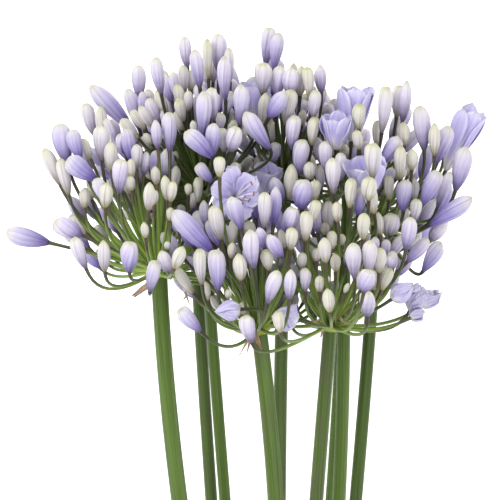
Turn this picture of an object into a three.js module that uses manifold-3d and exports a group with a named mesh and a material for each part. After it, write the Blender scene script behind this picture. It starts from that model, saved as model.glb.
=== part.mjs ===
// A bunch of nine cut agapanthus stems, laid down on a flat surface.
//
// Millimetres. +X is across the bunch, +Y runs along the stems towards the flower heads, and +Z is
// up from the surface. Every stem is one scape, and its head is one umbel: a receptacle with the
// pedicels, buds and open flowers that grow from it, all fused in one body. The origin is on the
// surface, under the middle of the bunch.

import * as THREE from 'three';
import { mergeVertices } from 'three/addons/utils/BufferGeometryUtils.js';
import Module from 'manifold-3d';

const wasm = await Module();
wasm.setup();

// ---- Driving dimensions ----

const TOUCHING_GAP = 0.15; // between pieces that touch
const GROWING_GAP = 0.5; // between what grows on one stem and what grows on another
const CUT_END_Y = -520; // where the stems were cut, below the line y = 0 where the bunch opens
const FLAT_RUN = 30; // length that lies flat on the surface at the cut end
const LIFT_REACH = 250; // how far a stem takes to leave the surface
const TOP_REACH = 230; // how far below its head a stem has straightened
const PILE_LEFT_X = -6; // left-hand stem at the cut end
const PILE_PITCH = 13.4; // between the stems that lie on the surface
const SCAPE_SIDES = 8;
const SCAPE_STEPS = 8;
const SCAPE_TAPER = 0.93; // radius under the head, as a share of the radius at the cut

const RECEPTACLE_WIDTH = 1.3; // of the scape's radius
const RECEPTACLE_BASE = 4.5; // below the hub, where the pedicels meet
const RECEPTACLE_TOP = 5;
const ROOT_REACH = 2.8; // from the hub to where a pedicel starts, well inside the receptacle

const PEDICEL_RADIUS = 1.25;
const PEDICEL_BENDS = [0.42, 0.3, 0.56, 0.2]; // how early a pedicel turns to its bud
const NECK_RADIUS = 1.3; // where a bud begins
const PEDICEL_CLEAR_FROM = 0.06; // share of its length that is crowded by its own neighbours
const BUD_RINGS = [[0.25, 0.7], [0.6, 1], [0.9, 0.72]]; // share of length, share of radius
const BUD_REACH = 78; // hub to the foot of a large bud
const SMALL_BUD_REACH = 60;
const SMALL_BUD_WIDTH = 8;
const BUD_WAIST = 0.62; // radius of a bud's lower part, as a share of its radius
const BUD_BODY = [0.4, 0.8]; // the stretch of its length where a bud is widest
const BUD_NOD = 0.3; // how far a bud on the upper side leans out of the bunch

const PETAL_THICKNESS = 0.9;
const FLOWER_LOBES = 6;
const FLOWER_BODY = [0.55, 0.8]; // the stretch of its length where a flower is widest
const NOTCH_RADIUS = 0.66; // between two lobes, as a share of the mouth's radius
const NOTCH_HEIGHT = 0.84; // as a share of the flower's length

const FILL_PER_HEAD = 10; // buds that fill the sides and the back of a head
const FILL_TRIES = 140;
const FILL_WIDEST = THREE.MathUtils.degToRad(100); // from the head's axis
const FILL_HIGHEST = 0.15; // they grow no further round to the upper side than this
const FILL_HALF_WIDTH = 156; // the bunch is no wider than this, either way from x = 0
const FILL_CROWN = [-20, 306]; // the bunch's highest place, from where it falls off in a parabola
const FILL_CROWN_WIDTH = 300; // mm of x squared for each mm that the top falls
const FILL_SKIRT = [25, 112]; // the bunch's lowest place, from where its lower edge rises likewise
const FILL_SKIRT_WIDTH = 150;
const FILL_REACH = [50, 78];
const FILL_LENGTH = [15, 26];
const FILL_SLENDER = [1.4, 0.14]; // a bud's radius is the first plus the second times its length
const FILL_UPTURN = 0.85; // how strongly a bud turns up along its head's axis
const SPREAD_STEPS = [0.618034, 0.754878]; // an even spread over a sphere
const SEEDS_PER_HEAD = 300; // keeps every bud's seed its own

const RESTING_LENGTH = 24; // of the buds that lie on the surface and carry the heads
const RESTING_RADIUS = 4.8;

// Depths tried, in order, until a bud is clear of its neighbours.
const DEPTH_STEPS = [0, 5, -5, 10, -10, 16, -16, 22, -22, 30, -30, 38, -38];

// Nine stems, from left to right. radius is the scape's; hub is where the pedicels meet; lean is
// how far the stem runs sideways and upwards in each millimetre along it, just under the head.
// buds: foot x, foot y, tip x, tip y, width, and for some the bend that their pedicel tries first.
// flowers: foot x, foot y, mouth x, mouth y, mouth radius, rise of the mouth over the foot.
// restingBud: from the hub to the foot of a bud that lies on the surface, across and along the bunch.
const STEMS = [
  {
    radius: 6.15, hub: [-63.5, 161, 176], lean: [-0.045, 0.16], row: 'upper',
    buds: [
      [-140, 180, -169, 187, 13], [-116, 185, -135, 194, 13], [-113, 162, -121, 183, 9.1],
      [-100, 160, -101, 181, 9.1], [-83, 160, -83, 180, 12.6], [-69, 146, -65, 167, 9.8],
      [-132, 220, -143, 245, 9.1], [-126, 213, -132, 238, 8.4], [-127, 235, -133, 262, 13.6],
      [-107, 224, -126, 238, 13.3], [-103, 237, -104, 261, 11.9], [-96, 230, -97, 250, 9.1],
      [-90, 214, -89, 237, 10.5], [-100, 204, -99, 221, 9.8], [-70, 202, -69, 221, 8.4],
      [-56, 243, -57, 270, 10.5],
    ],
    flowers: [],
  },
  {
    radius: 4.55, hub: [-39, 190, 90], lean: [-0.05, 0.08], row: 'lower', restingBud: [-8, 34],
    buds: [
      [-110, 256, -116, 278, 9.8], [-104, 254, -106, 276, 8.4], [-83, 260, -112, 290, 13.3],
      [-78, 282, -79, 305, 10.5], [-78, 260, -86, 288, 9.8], [-71, 268, -72, 288, 9.1],
      [-61, 281, -61, 301, 8.4], [-51, 272, -55, 288, 9.1],
    ],
    flowers: [],
  },
  {
    radius: 4.3, hub: [-33.5, 217, 130], lean: [-0.06, 0.12], row: 'lower',
    buds: [
      [-62, 284, -66, 309, 9.1], [-44, 303, -46, 324, 8.4], [-35, 288, -39, 314, 9.1],
      [-22, 300, -22, 326, 11.2], [-17, 279, -18, 309, 9.8], [-33, 255, -32, 284, 10.5],
      [-25, 265, -27, 287, 8.4], [-7, 262, -6, 289, 11.2], [-26, 240, -25, 262, 9.8],
      [-18, 243, -20, 259, 8.4], [-13, 243, -10, 260, 10.5], [14, 245, -3, 270, 11.9],
      [-26, 239, -44, 256, 12.6],
    ],
    flowers: [],
  },
  {
    radius: 6, hub: [6, 121, 192], lean: [-0.13, 0.16], row: 'upper',
    buds: [
      [16, 192, 18, 218, 9.1], [10, 190, 10, 214, 9.1], [-6, 189, -13, 211, 11.2],
      [-20, 182, -25, 205, 9.8], [3, 162, 0, 188, 11.2], [-22, 147, -24, 174, 11.9],
      [-33, 151, -35, 175, 9.1], [-6, 154, -8, 172, 9.1], [13, 161, 11, 175, 8.4],
      [15, 146, 18, 161, 10.5], [27, 141, 28, 161, 8.4], [-39, 145, -51, 162, 7.7],
      [-34, 119, -48, 134, 10.5], [-26, 174, -52, 201, 13.3],
      [28, 188, 29, 204, 9.8], [28, 175, 29, 190, 8.4],
      [-21, 225, -21, 239, 8.4],
    ],
    flowers: [[-11, 209, -10, 215, 17, 24], [-7, 134, -23, 132, 8, 6]],
  },
  {
    radius: 5, hub: [25, 231, 92], lean: [0.03, 0.08], row: 'lower', restingBud: [3, 34],
    buds: [
      [11, 306, 14, 331, 10.5], [17, 302, 20, 327, 9.8], [9, 284, 9, 305, 12.3],
      [19, 281, 21, 303, 11], [28, 283, 29, 302, 11], [35, 283, 36, 303, 9.8],
      [42, 281, 40, 302, 8.4], [50, 285, 49, 304, 8.4], [44, 267, 46, 286, 8.4],
      [25, 262, 29, 286, 10.5], [9, 262, 11, 284, 9.1], [29, 245, 31, 268, 10.5],
      [34, 227, 37, 251, 11.2], [43, 248, 45, 267, 8.4], [27, 210, 29, 234, 9.1],
    ],
    flowers: [[3, 264, 3, 292, 12, 6], [9, 214, 12, 233, 10, 8]],
  },
  {
    radius: 5.2, hub: [56, 123, 182], lean: [0.08, 0.15], row: 'upper',
    buds: [
      [55, 132, 53, 148, 8.4], [38, 181, 39, 201, 9.1], [42, 193, 46, 209, 8.4],
      [52, 166, 51, 183, 9.1], [72, 155, 71, 179, 11.2], [82, 158, 83, 181, 10.5],
      [89, 159, 89, 176, 9.1], [81, 129, 80, 146, 10.5], [78, 182, 79, 200, 8.4],
      [108, 175, 111, 197, 10.5], [1.5, 111, -3, 129.5, 10.5, 0.2],
      [21, 118, 19, 133, 8, 0.2],
    ],
    flowers: [[33, 127, 18, 132, 10, 4], [98, 141, 112, 151, 8, 4], [111, 133, 120, 150, 7.5, 4]],
  },
  {
    radius: 4.4, hub: [69, 218, 102], lean: [0.03, 0.1], row: 'lower',
    buds: [
      [76, 259, 76, 276, 9.1], [92, 257, 95, 288, 9.8], [53, 230, 52, 250, 9.1],
      [63, 223, 63, 242, 8.4], [58, 241, 55, 260, 8],
    ],
    flowers: [[71, 251, 74, 289.5, 13, 4], [60, 245, 60, 270, 12, 8]],
  },
  {
    radius: 5, hub: [65.5, 175, 140], lean: [-0.015, 0.12], row: 'upper',
    buds: [
      [58, 214, 57, 238, 10.5], [36, 203, 37, 223, 13.3], [69, 204, 70, 224, 8.4],
      [86, 200, 82, 218, 9.1], [82, 209, 82, 225, 10.5], [85, 225, 85, 248, 12.6],
    ],
    flowers: [[84, 214, 79, 237, 13, 8]],
  },
  {
    radius: 4.8, hub: [90, 197, 92], lean: [0.06, 0.09], row: 'lower', restingBud: [10, 32],
    buds: [
      [103, 268, 106, 290, 9.8], [107, 265, 110, 293, 8.4], [122, 245, 119, 275, 11.9],
      [129, 241, 129, 263, 8.4], [144, 217, 151, 246, 12.6], [125, 192, 154, 211, 12.6],
      [126, 181, 137, 196, 10.5], [121, 160, 133, 180, 11.2], [108, 248, 107, 264, 9.1],
      [105, 224, 105, 247, 8.4], [113, 231, 113, 245, 8.4], [107, 202, 108, 223, 11.2],
      [120, 206, 131, 229, 11.9], [114, 195, 116, 210, 8.4], [98, 185, 98, 200, 11.9],
    ],
    flowers: [[138, 231, 158.7, 275, 12, 6]],
  },
];

// ---- Small helpers ----

const vec = (x, y, z) => new THREE.Vector3(x, y, z);
const mix = (low, high, share) => low + (high - low) * share;
const along = (from, direction, distance) => from.clone().addScaledVector(direction, distance);

// Repeatable draws between 0 and 1 from a whole-number seed.
function seededDraw(seed) {
  let state = seed >>> 0;
  return () => {
    state = (state + 0x6d2b79f5) >>> 0;
    let bits = Math.imul(state ^ (state >>> 15), state | 1);
    bits = (bits + Math.imul(bits ^ (bits >>> 7), bits | 61)) ^ bits;
    return ((bits ^ (bits >>> 14)) >>> 0) / 4294967296;
  };
}

// Shortest distance between the segments a-b and c-d.
function segmentGap(a, b, c, d) {
  const u = b.clone().sub(a);
  const v = d.clone().sub(c);
  const w = a.clone().sub(c);
  const uu = u.dot(u);
  const uv = u.dot(v);
  const vv = v.dot(v);
  const uw = u.dot(w);
  const vw = v.dot(w);
  const spread = uu * vv - uv * uv;
  let s = spread > 1e-9 ? THREE.MathUtils.clamp((uv * vw - vv * uw) / spread, 0, 1) : 0;
  const t = THREE.MathUtils.clamp((uv * s + vw) / vv, 0, 1);
  s = THREE.MathUtils.clamp((uv * t - uw) / uu, 0, 1);
  return along(a, u, s).distanceTo(along(c, v, t));
}

// ---- Closed skins through rings of points ----

// Rings run in order along a path. Each has as many points as the one before, or twice as many, or
// it is a single point, where the skin closes.
function skin(rings) {
  const points = rings.flat();
  const starts = [];
  let count = 0;
  for (const ring of rings) {
    starts.push(count);
    count += ring.length;
  }
  const faces = [];
  const cap = (start, size, flip) => {
    for (let i = 1; i < size - 1; i++) {
      faces.push(flip ? [start, start + i + 1, start + i] : [start, start + i, start + i + 1]);
    }
  };
  cap(starts[0], rings[0].length, true);
  for (let r = 0; r + 1 < rings.length; r++) {
    const lower = rings[r].length;
    const upper = rings[r + 1].length;
    const a = (i) => starts[r] + (i + lower) % lower;
    const b = (i) => starts[r + 1] + (i + upper) % upper;
    for (let i = 0; i < Math.max(lower, upper); i++) {
      if (upper === 1) faces.push([a(i), a(i + 1), b(0)]);
      else if (upper === lower) faces.push([a(i), a(i + 1), b(i + 1)], [a(i), b(i + 1), b(i)]);
      else if (i < lower) {
        faces.push([a(i), b(2 * i), b(2 * i - 1)], [a(i), b(2 * i + 1), b(2 * i)]);
        faces.push([a(i), a(i + 1), b(2 * i + 1)]);
      }
    }
  }
  cap(starts.at(-1), rings.at(-1).length, false);
  const geometry = new THREE.BufferGeometry();
  geometry.setAttribute('position', new THREE.Float32BufferAttribute(
    points.flatMap((p) => [p.x, p.y, p.z]), 3));
  geometry.setIndex(faces.flat());
  return geometry;
}

// A ring round centre, with side and across square to the path; radiusAt may vary by corner.
function ring(centre, side, across, sides, radiusAt, turn = 0) {
  return Array.from({ length: sides }, (_, i) => {
    const angle = (i + turn) * 2 * Math.PI / sides;
    const radius = typeof radiusAt === 'function' ? radiusAt(i) : radiusAt;
    return along(along(centre, side, radius * Math.cos(angle)), across, radius * Math.sin(angle));
  });
}

// ---- Joining solids ----

function toManifold(geometry) {
  const welded = geometry.clone();
  welded.deleteAttribute('normal');
  welded.deleteAttribute('uv');
  const merged = mergeVertices(welded, 1e-4);
  return new wasm.Manifold(new wasm.Mesh({
    numProp: 3,
    vertProperties: merged.attributes.position.array,
    triVerts: new Uint32Array(merged.index.array),
  }));
}

function fuse(geometries) {
  const joined = geometries.map(toManifold).reduce((whole, piece) => whole.add(piece));
  const mesh = joined.getMesh();
  const geometry = new THREE.BufferGeometry();
  geometry.setAttribute('position', new THREE.BufferAttribute(mesh.vertProperties, 3));
  geometry.setIndex(new THREE.BufferAttribute(mesh.triVerts, 1));
  return geometry;
}

// ---- Scapes ----

// Cut ends lie in a lower row on the surface, and the upper row lies in its grooves.
function pileCutEnds() {
  const flatness = Math.cos(Math.PI / SCAPE_SIDES);
  const lower = STEMS.filter((stem) => stem.row === 'lower');
  for (const [i, stem] of lower.entries()) {
    stem.cut = vec(PILE_LEFT_X + i * PILE_PITCH, CUT_END_Y, stem.radius * flatness);
  }
  for (const [i, stem] of STEMS.filter((other) => other.row === 'upper').entries()) {
    const left = lower[i];
    const right = lower[i + 1];
    const span = right.cut.clone().sub(left.cut);
    const toLeft = left.radius + stem.radius + TOUCHING_GAP;
    const toRight = right.radius + stem.radius + TOUCHING_GAP;
    const width = span.length();
    const share = (toLeft ** 2 - toRight ** 2 + width ** 2) / (2 * width);
    const height = Math.sqrt(toLeft ** 2 - share ** 2);
    const level = span.normalize();
    stem.cut = along(along(left.cut, level, share), vec(-level.z, 0, level.x), height);
  }
}

function growScape(stem) {
  stem.centre = vec(...stem.hub);
  stem.axis = vec(stem.lean[0], 1, stem.lean[1]).normalize();
  const top = along(stem.centre, stem.axis, -RECEPTACLE_BASE - TOUCHING_GAP);
  const lift = stem.cut.clone().add(vec(0, FLAT_RUN, 0));
  const curve = new THREE.CubicBezierCurve3(
    lift, lift.clone().add(vec(0, LIFT_REACH, 0)), along(top, stem.axis, -TOP_REACH), top);
  stem.path = [stem.cut, ...curve.getPoints(SCAPE_STEPS)];
  const rings = stem.path.map((point, i) => {
    const t = Math.max(0, (i - 1) / SCAPE_STEPS);
    const tangent = i === 0 ? vec(0, 1, 0) : curve.getTangent(t);
    const side = tangent.clone().cross(vec(0, 0, 1)).normalize();
    const across = side.clone().cross(tangent);
    return ring(point, side, across, SCAPE_SIDES, stem.radius * mix(1, SCAPE_TAPER, t), 0.5)
      .reverse();
  });
  return skin(rings);
}

// ---- What crowds a head: capsules, each two points and a radius ----

const grown = [];

const capsule = (from, to, radius, part) => ({ from, to, radius, part });

function clears(capsules, head) {
  return capsules.every((mine) => {
    const low = Math.min(mine.from.z, mine.to.z) - mine.radius;
    if (low < 0) return false;
    return grown.every((other) => {
      const sameHead = other.head === head;
      const bothThin = mine.part !== 'bud' && other.part !== 'bud';
      if (sameHead && (bothThin || other.part === 'receptacle')) return true;
      const room = mine.radius + other.radius + (sameHead ? 0 : GROWING_GAP);
      const near = mine.from.distanceTo(other.from);
      const reach = mine.from.distanceTo(mine.to) + other.from.distanceTo(other.to);
      if (near - reach > room) return true;
      return segmentGap(mine.from, mine.to, other.from, other.to) >= room;
    });
  });
}

// A pedicel leaves the receptacle towards a control point behind the bud's foot, so that it meets
// the bud in line.
function pedicelCurve(stem, foot, axis, bend) {
  const span = stem.centre.distanceTo(foot);
  const control = along(foot, axis, -bend * span);
  const out = control.clone().sub(stem.centre).normalize();
  const rise = out.dot(stem.axis);
  if (rise < 0) out.addScaledVector(stem.axis, -rise).normalize();
  const root = along(stem.centre, out, ROOT_REACH);
  return new THREE.QuadraticBezierCurve3(root, control, foot);
}

function crowdOf(curve, foot, axis, length, widest, from, to) {
  const middle = curve.getPoint(0.5);
  const start = curve.getPoint(PEDICEL_CLEAR_FROM);
  return [
    capsule(start, middle, PEDICEL_RADIUS, 'pedicel'),
    capsule(middle, foot, PEDICEL_RADIUS, 'pedicel'),
    capsule(foot, along(foot, axis, length * from), widest * BUD_WAIST, 'bud'),
    capsule(along(foot, axis, length * from), along(foot, axis, length * to), widest, 'bud'),
  ];
}

// ---- Buds and open flowers, each one skin with its pedicel ----

function pathFrame(curve, t) {
  const tangent = curve.getTangent(t);
  let across = curve.v1.clone().sub(curve.v0).cross(curve.v2.clone().sub(curve.v1));
  if (across.length() < 1) across = vec(0, 0, 1).cross(curve.v2.clone().sub(curve.v0));
  across.normalize();
  return { tangent, across, side: across.clone().cross(tangent).normalize() };
}

function pedicelRings(curve) {
  return [0, 0.5, 1].map((t) => {
    const { side, across } = pathFrame(curve, t);
    return ring(curve.getPoint(t), side, across, 3, t === 1 ? NECK_RADIUS : PEDICEL_RADIUS);
  });
}

function budSkin(curve, length, radius) {
  const { tangent, side, across } = pathFrame(curve, 1);
  const body = BUD_RINGS.map(([share, width]) =>
    ring(along(curve.v2, tangent, share * length), side, across, 6, width * radius));
  return skin([...pedicelRings(curve), ...body, [along(curve.v2, tangent, length)]]);
}

function flowerSkin(curve, length, mouth) {
  const { tangent, side, across } = pathFrame(curve, 1);
  const sides = FLOWER_LOBES * 2;
  const at = (share) => along(curve.v2, tangent, share * length);
  const rim = (inset) => ring(at(0), side, across, sides, (i) =>
    (i % 2 ? mouth * NOTCH_RADIUS : mouth) - inset)
    .map((point, i) => along(point, tangent, length * (i % 2 ? NOTCH_HEIGHT : 1)));
  return skin([
    ...pedicelRings(curve),
    ring(at(0.2), side, across, FLOWER_LOBES, 2.6),
    ring(at(0.45), side, across, sides, 2 + mouth * 0.25),
    ring(at(0.7), side, across, sides, 1 + mouth * 0.5),
    rim(0),
    rim(PETAL_THICKNESS),
    ring(at(0.7), side, across, sides, 1 + mouth * 0.5 - PETAL_THICKNESS),
    [at(0.42)],
  ]);
}

// Tries each depth and bend until the piece is clear of all that has grown before it.
function grow(stem, spec) {
  for (const bend of spec.bends ?? PEDICEL_BENDS) {
    for (const step of spec.steps) {
      const foot = spec.foot.clone().add(vec(0, 0, step));
      const curve = pedicelCurve(stem, foot, spec.axis, bend);
      const crowd = crowdOf(curve, foot, spec.axis, spec.length, spec.radius, ...spec.body);
      if (clears(crowd, stem)) {
        for (const part of crowd) grown.push({ ...part, head: stem });
        stem.pieces.push(spec.skin(curve, spec.length, spec.size ?? spec.radius));
        return true;
      }
    }
  }
  return false;
}

function growKeyBud(stem, [footX, footY, tipX, tipY, width, bend]) {
  const reach = width < SMALL_BUD_WIDTH ? SMALL_BUD_REACH : BUD_REACH;
  const aside = Math.hypot(footX - stem.centre.x, footY - stem.centre.y);
  const outward = Math.sqrt(Math.max(0, reach ** 2 - aside ** 2));
  const flat = Math.hypot(tipX - footX, tipY - footY);
  const axis = vec(tipX - footX, tipY - footY, BUD_NOD * flat * outward / reach);
  return grow(stem, {
    foot: vec(footX, footY, stem.centre.z + outward),
    axis: axis.clone().normalize(),
    length: axis.length(),
    radius: width / 2,
    bends: bend === undefined ? PEDICEL_BENDS : [bend, ...PEDICEL_BENDS],
    steps: DEPTH_STEPS,
    body: BUD_BODY,
    skin: budSkin,
  });
}

function growRestingBud(stem) {
  const [aside, ahead] = stem.restingBud;
  const level = RESTING_RADIUS + 0.01;
  return grow(stem, {
    foot: vec(stem.centre.x + aside, stem.centre.y + ahead, level),
    axis: vec(aside, ahead, 0).normalize(),
    length: RESTING_LENGTH,
    radius: RESTING_RADIUS,
    steps: [0],
    body: BUD_BODY,
    skin: budSkin,
  });
}

function growFlower(stem, [footX, footY, mouthX, mouthY, mouth, rise]) {
  const aside = Math.hypot(footX - stem.centre.x, footY - stem.centre.y);
  const outward = Math.sqrt(Math.max(0, SMALL_BUD_REACH ** 2 - aside ** 2));
  const axis = vec(mouthX - footX, mouthY - footY, rise);
  return grow(stem, {
    foot: vec(footX, footY, stem.centre.z + outward),
    axis: axis.clone().normalize(),
    length: axis.length(),
    radius: mouth * 0.95,
    size: mouth,
    steps: DEPTH_STEPS,
    body: FLOWER_BODY,
    skin: flowerSkin,
  });
}

// The k-th direction of an even spread over a head, from a low-discrepancy pair.
function spreadDirection(stem, k) {
  const polar = Math.acos(1 - (1 - Math.cos(FILL_WIDEST)) * ((0.5 + k * SPREAD_STEPS[0]) % 1));
  const round = 2 * Math.PI * ((k * SPREAD_STEPS[1]) % 1);
  const side = stem.axis.clone().cross(vec(0, 0, 1)).normalize();
  const up = side.clone().cross(stem.axis);
  return stem.axis.clone().multiplyScalar(Math.cos(polar))
    .addScaledVector(side, Math.sin(polar) * Math.cos(round))
    .addScaledVector(up, Math.sin(polar) * Math.sin(round));
}

function growFillBud(stem, index, k) {
  const draw = seededDraw(index * SEEDS_PER_HEAD + k);
  const size = Math.sqrt(draw());
  const direction = spreadDirection(stem, k);
  if (direction.z > FILL_HIGHEST) return false;
  const turned = FILL_UPTURN * (1 - direction.dot(stem.axis));
  const length = mix(...FILL_LENGTH, size);
  const foot = along(stem.centre, direction, mix(...FILL_REACH, (2 * size + draw()) / 3));
  const axis = direction.addScaledVector(stem.axis, turned).normalize();
  const tip = along(foot, axis, length);
  if (Math.abs(tip.x) > FILL_HALF_WIDTH) return false;
  if (tip.y > FILL_CROWN[1] - (tip.x - FILL_CROWN[0]) ** 2 / FILL_CROWN_WIDTH) return false;
  for (const end of [foot, tip]) {
    if (end.y < FILL_SKIRT[1] + (end.x - FILL_SKIRT[0]) ** 2 / FILL_SKIRT_WIDTH) return false;
  }
  return grow(stem, {
    foot,
    axis,
    length,
    radius: FILL_SLENDER[0] + FILL_SLENDER[1] * length,
    steps: [0],
    body: BUD_BODY,
    skin: budSkin,
  });
}

function receptacle(stem) {
  const radius = stem.radius * RECEPTACLE_WIDTH;
  const profile = [
    [0, -RECEPTACLE_BASE], [stem.radius * SCAPE_TAPER, -RECEPTACLE_BASE], [radius, -1],
    [radius * 0.86, RECEPTACLE_TOP * 0.6], [0, RECEPTACLE_TOP],
  ];
  const dome = new THREE.LatheGeometry(profile.map((p) => new THREE.Vector2(...p)), SCAPE_SIDES);
  dome.applyQuaternion(new THREE.Quaternion().setFromUnitVectors(vec(0, 1, 0), stem.axis));
  dome.translate(...stem.centre);
  return dome;
}

// ---- The bunch ----

const green = (shade) => new THREE.MeshStandardMaterial({
  color: shade, roughness: 0.55, metalness: 0,
});
const lilac = new THREE.MeshStandardMaterial({ color: 0xc9c4e6, roughness: 0.6, metalness: 0 });

const bunch = new THREE.Group();

function addPiece(name, geometry, material) {
  const mesh = new THREE.Mesh(geometry, material);
  mesh.name = name;
  bunch.add(mesh);
}

pileCutEnds();
for (const [i, stem] of STEMS.entries()) {
  stem.pieces = [];
  addPiece(`scape_${i + 1}`, growScape(stem), green(0x5f8a3c));
  stem.path.slice(1).forEach((point, k) => {
    grown.push({ ...capsule(stem.path[k], point, stem.radius, 'scape'), head: null });
  });
  const bottom = along(stem.centre, stem.axis, -RECEPTACLE_BASE);
  const radius = stem.radius * RECEPTACLE_WIDTH;
  grown.push({ ...capsule(bottom, stem.centre, radius, 'receptacle'), head: stem });
}
for (const stem of STEMS) {
  if (stem.restingBud) growRestingBud(stem);
  for (const row of stem.flowers) growFlower(stem, row);
}
for (const stem of STEMS) {
  for (const row of stem.buds) growKeyBud(stem, row);
}
for (const [index, stem] of STEMS.entries()) {
  let filled = 0;
  for (let k = 0; k < FILL_TRIES && filled < FILL_PER_HEAD; k++) {
    if (growFillBud(stem, index, k)) filled++;
  }
}
for (const [i, stem] of STEMS.entries()) {
  addPiece(`umbel_${i + 1}`, fuse([receptacle(stem), ...stem.pieces]), lilac);
}

const box = new THREE.Box3().setFromObject(bunch);
const middle = box.getCenter(vec(0, 0, 0));
bunch.position.set(-middle.x, -middle.y, 0);

export default bunch;
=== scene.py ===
"""Looks for a bunch of nine cut agapanthus stems, laid down on a flat surface.

Every stem is one scape with one head: a receptacle with its pedicels, buds, open flowers and scraps
of the dried bract. Where each of them grows is worked out by one rule, in millimetres, and meshes
are made in metres. +X is across the bunch, +Y runs along the stems towards the heads and +Z is up.
"""

import math
from dataclasses import dataclass, field, replace

import bpy
import numpy as np
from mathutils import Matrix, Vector


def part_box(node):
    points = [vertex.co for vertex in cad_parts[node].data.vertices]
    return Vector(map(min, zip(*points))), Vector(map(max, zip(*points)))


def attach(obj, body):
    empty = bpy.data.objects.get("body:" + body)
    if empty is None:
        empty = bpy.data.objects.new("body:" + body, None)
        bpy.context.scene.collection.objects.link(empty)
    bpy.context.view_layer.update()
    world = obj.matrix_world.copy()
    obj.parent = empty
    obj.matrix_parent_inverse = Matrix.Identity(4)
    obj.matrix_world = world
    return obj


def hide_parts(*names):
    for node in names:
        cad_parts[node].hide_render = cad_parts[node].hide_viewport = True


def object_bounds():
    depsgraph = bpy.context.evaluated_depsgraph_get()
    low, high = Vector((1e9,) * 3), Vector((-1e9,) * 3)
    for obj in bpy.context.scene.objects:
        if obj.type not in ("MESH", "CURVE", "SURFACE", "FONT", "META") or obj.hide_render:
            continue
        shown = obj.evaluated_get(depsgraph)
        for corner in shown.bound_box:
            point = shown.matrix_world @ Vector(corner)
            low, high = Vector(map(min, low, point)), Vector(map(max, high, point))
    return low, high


bl_info = {
    "name": "Agapanthus bunch",
    "version": (1, 0, 0),
    "blender": (4, 5, 0),
    "location": "3D View > Sidebar > Agapanthus",
    "description": "Dresses a laid-down bunch of cut agapanthus stems",
    "category": "Object",
}

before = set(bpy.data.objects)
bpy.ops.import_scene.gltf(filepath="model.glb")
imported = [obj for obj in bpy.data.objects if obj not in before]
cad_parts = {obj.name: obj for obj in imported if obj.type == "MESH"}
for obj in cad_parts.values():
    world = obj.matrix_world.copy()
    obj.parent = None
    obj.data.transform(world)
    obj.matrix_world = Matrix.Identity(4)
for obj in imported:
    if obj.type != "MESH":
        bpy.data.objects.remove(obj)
CAD_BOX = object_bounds()
MM = 0.001

# ---- Driving dimensions of the growth, in millimetres ----

TOUCHING_GAP = 0.15  # between pieces that touch
GROWING_GAP = 0.5  # between what grows on one stem and what grows on another
CUT_FACE = 0.1  # what is nearer than this to the cut end belongs to the cut face
CUT_END_Y = -520  # where the stems were cut, below the line y = 0 where the bunch opens
FLAT_RUN = 30  # length that lies flat on the surface at the cut end
LIFT_REACH = 250  # how far a stem takes to leave the surface
TOP_REACH = 230  # how far below its head a stem has straightened
PILE_LEFT_X = -6  # left-hand stem at the cut end
PILE_PITCH = 13.4  # between the stems that lie on the surface
SCAPE_SIDES = 8  # of the frame's own scapes
SCAPE_STEPS = 8
SCAPE_TAPER = 0.93  # radius under the head, as a share of the radius at the cut

RECEPTACLE_WIDTH = 1.3  # of the scape's radius
RECEPTACLE_BASE = 4.5  # below the hub, where the pedicels meet
RECEPTACLE_TOP = 5
ROOT_REACH = 2.8  # from the hub to where a pedicel starts

PEDICEL_ROOM = 1.25  # radius that a pedicel keeps free
PEDICEL_BENDS = (0.42, 0.3, 0.56, 0.2)  # how early a pedicel turns to its bud
PEDICEL_CLEAR_FROM = 0.06  # share of its length that is crowded by its own neighbours
BUD_REACH = 78  # hub to the foot of a large bud
SMALL_BUD_REACH = 60
BACK_BUD_REACH = 40  # behind the hub
SMALL_BUD_WIDTH = 8  # a bud under this width is a small one
BUD_WAIST = 0.62  # radius of a bud's lower part, as a share of its radius
BUD_BODY = (0.4, 0.8)  # the stretch of its length where a bud is widest
BUD_NOD = 0.3  # how far a bud on the upper side leans out of the bunch
FLOWER_BODY = (0.55, 0.8)  # the stretch of its length where a flower is widest
FLOWER_ROOM = 0.95  # radius that a flower keeps free, as a share of its mouth

FILL_PER_HEAD = 10  # buds that the frame has on the sides and the back of a head
FILL_TRIES = 140  # places in the even spread that are tried for them
FILL_WIDEST = math.radians(100)  # from the head's axis
FILL_HIGHEST = 0.15  # they grow no further round to the upper side than this
FILL_HALF_WIDTH = 156  # the bunch is no wider than this, either way from x = 0
FILL_CROWN = (-20, 306)  # the bunch's highest place, from where it falls off in a parabola
FILL_CROWN_WIDTH = 300  # mm of x squared for each mm that the top falls
# The bunch's lowest place, and the mm of x squared for each mm that its lower edge rises from there.
FILL_SKIRT = (25, 112, 150)
FILL_REACH = (50, 78)  # hub to foot, of the smallest and of the largest
FILL_LENGTH = (15, 26)
FILL_SLENDER = (1.4, 0.14)  # a bud's radius is the first plus the second times its length
FILL_UPTURN = 0.85  # how strongly a bud turns up along its head's axis
SPREAD_STEPS = (0.618034, 0.754878)  # an even spread over a sphere
SEEDS_PER_HEAD = 300
SMALL_FLOWER_SEED = 10  # the first seed of each list of rows
SMALL_BUD_SEED = 100
BACK_BUD_SEED = 200

RESTING_LENGTH = 24  # of the buds that lie on the surface and carry the heads
RESTING_RADIUS = 4.8
RESTING_GAP = 0.01  # between them and the surface
# How much further from the surface than planned a sprig is tried, until it has room.
DEPTH_STEPS = (0, 5, -5, 10, -10, 16, -16, 22, -22, 30, -30, 38, -38)

# Of the buds that fill a head further than the frame does:
YOUNG_REACH = (34, 70)
YOUNG_LENGTH = (9, 21)
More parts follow.
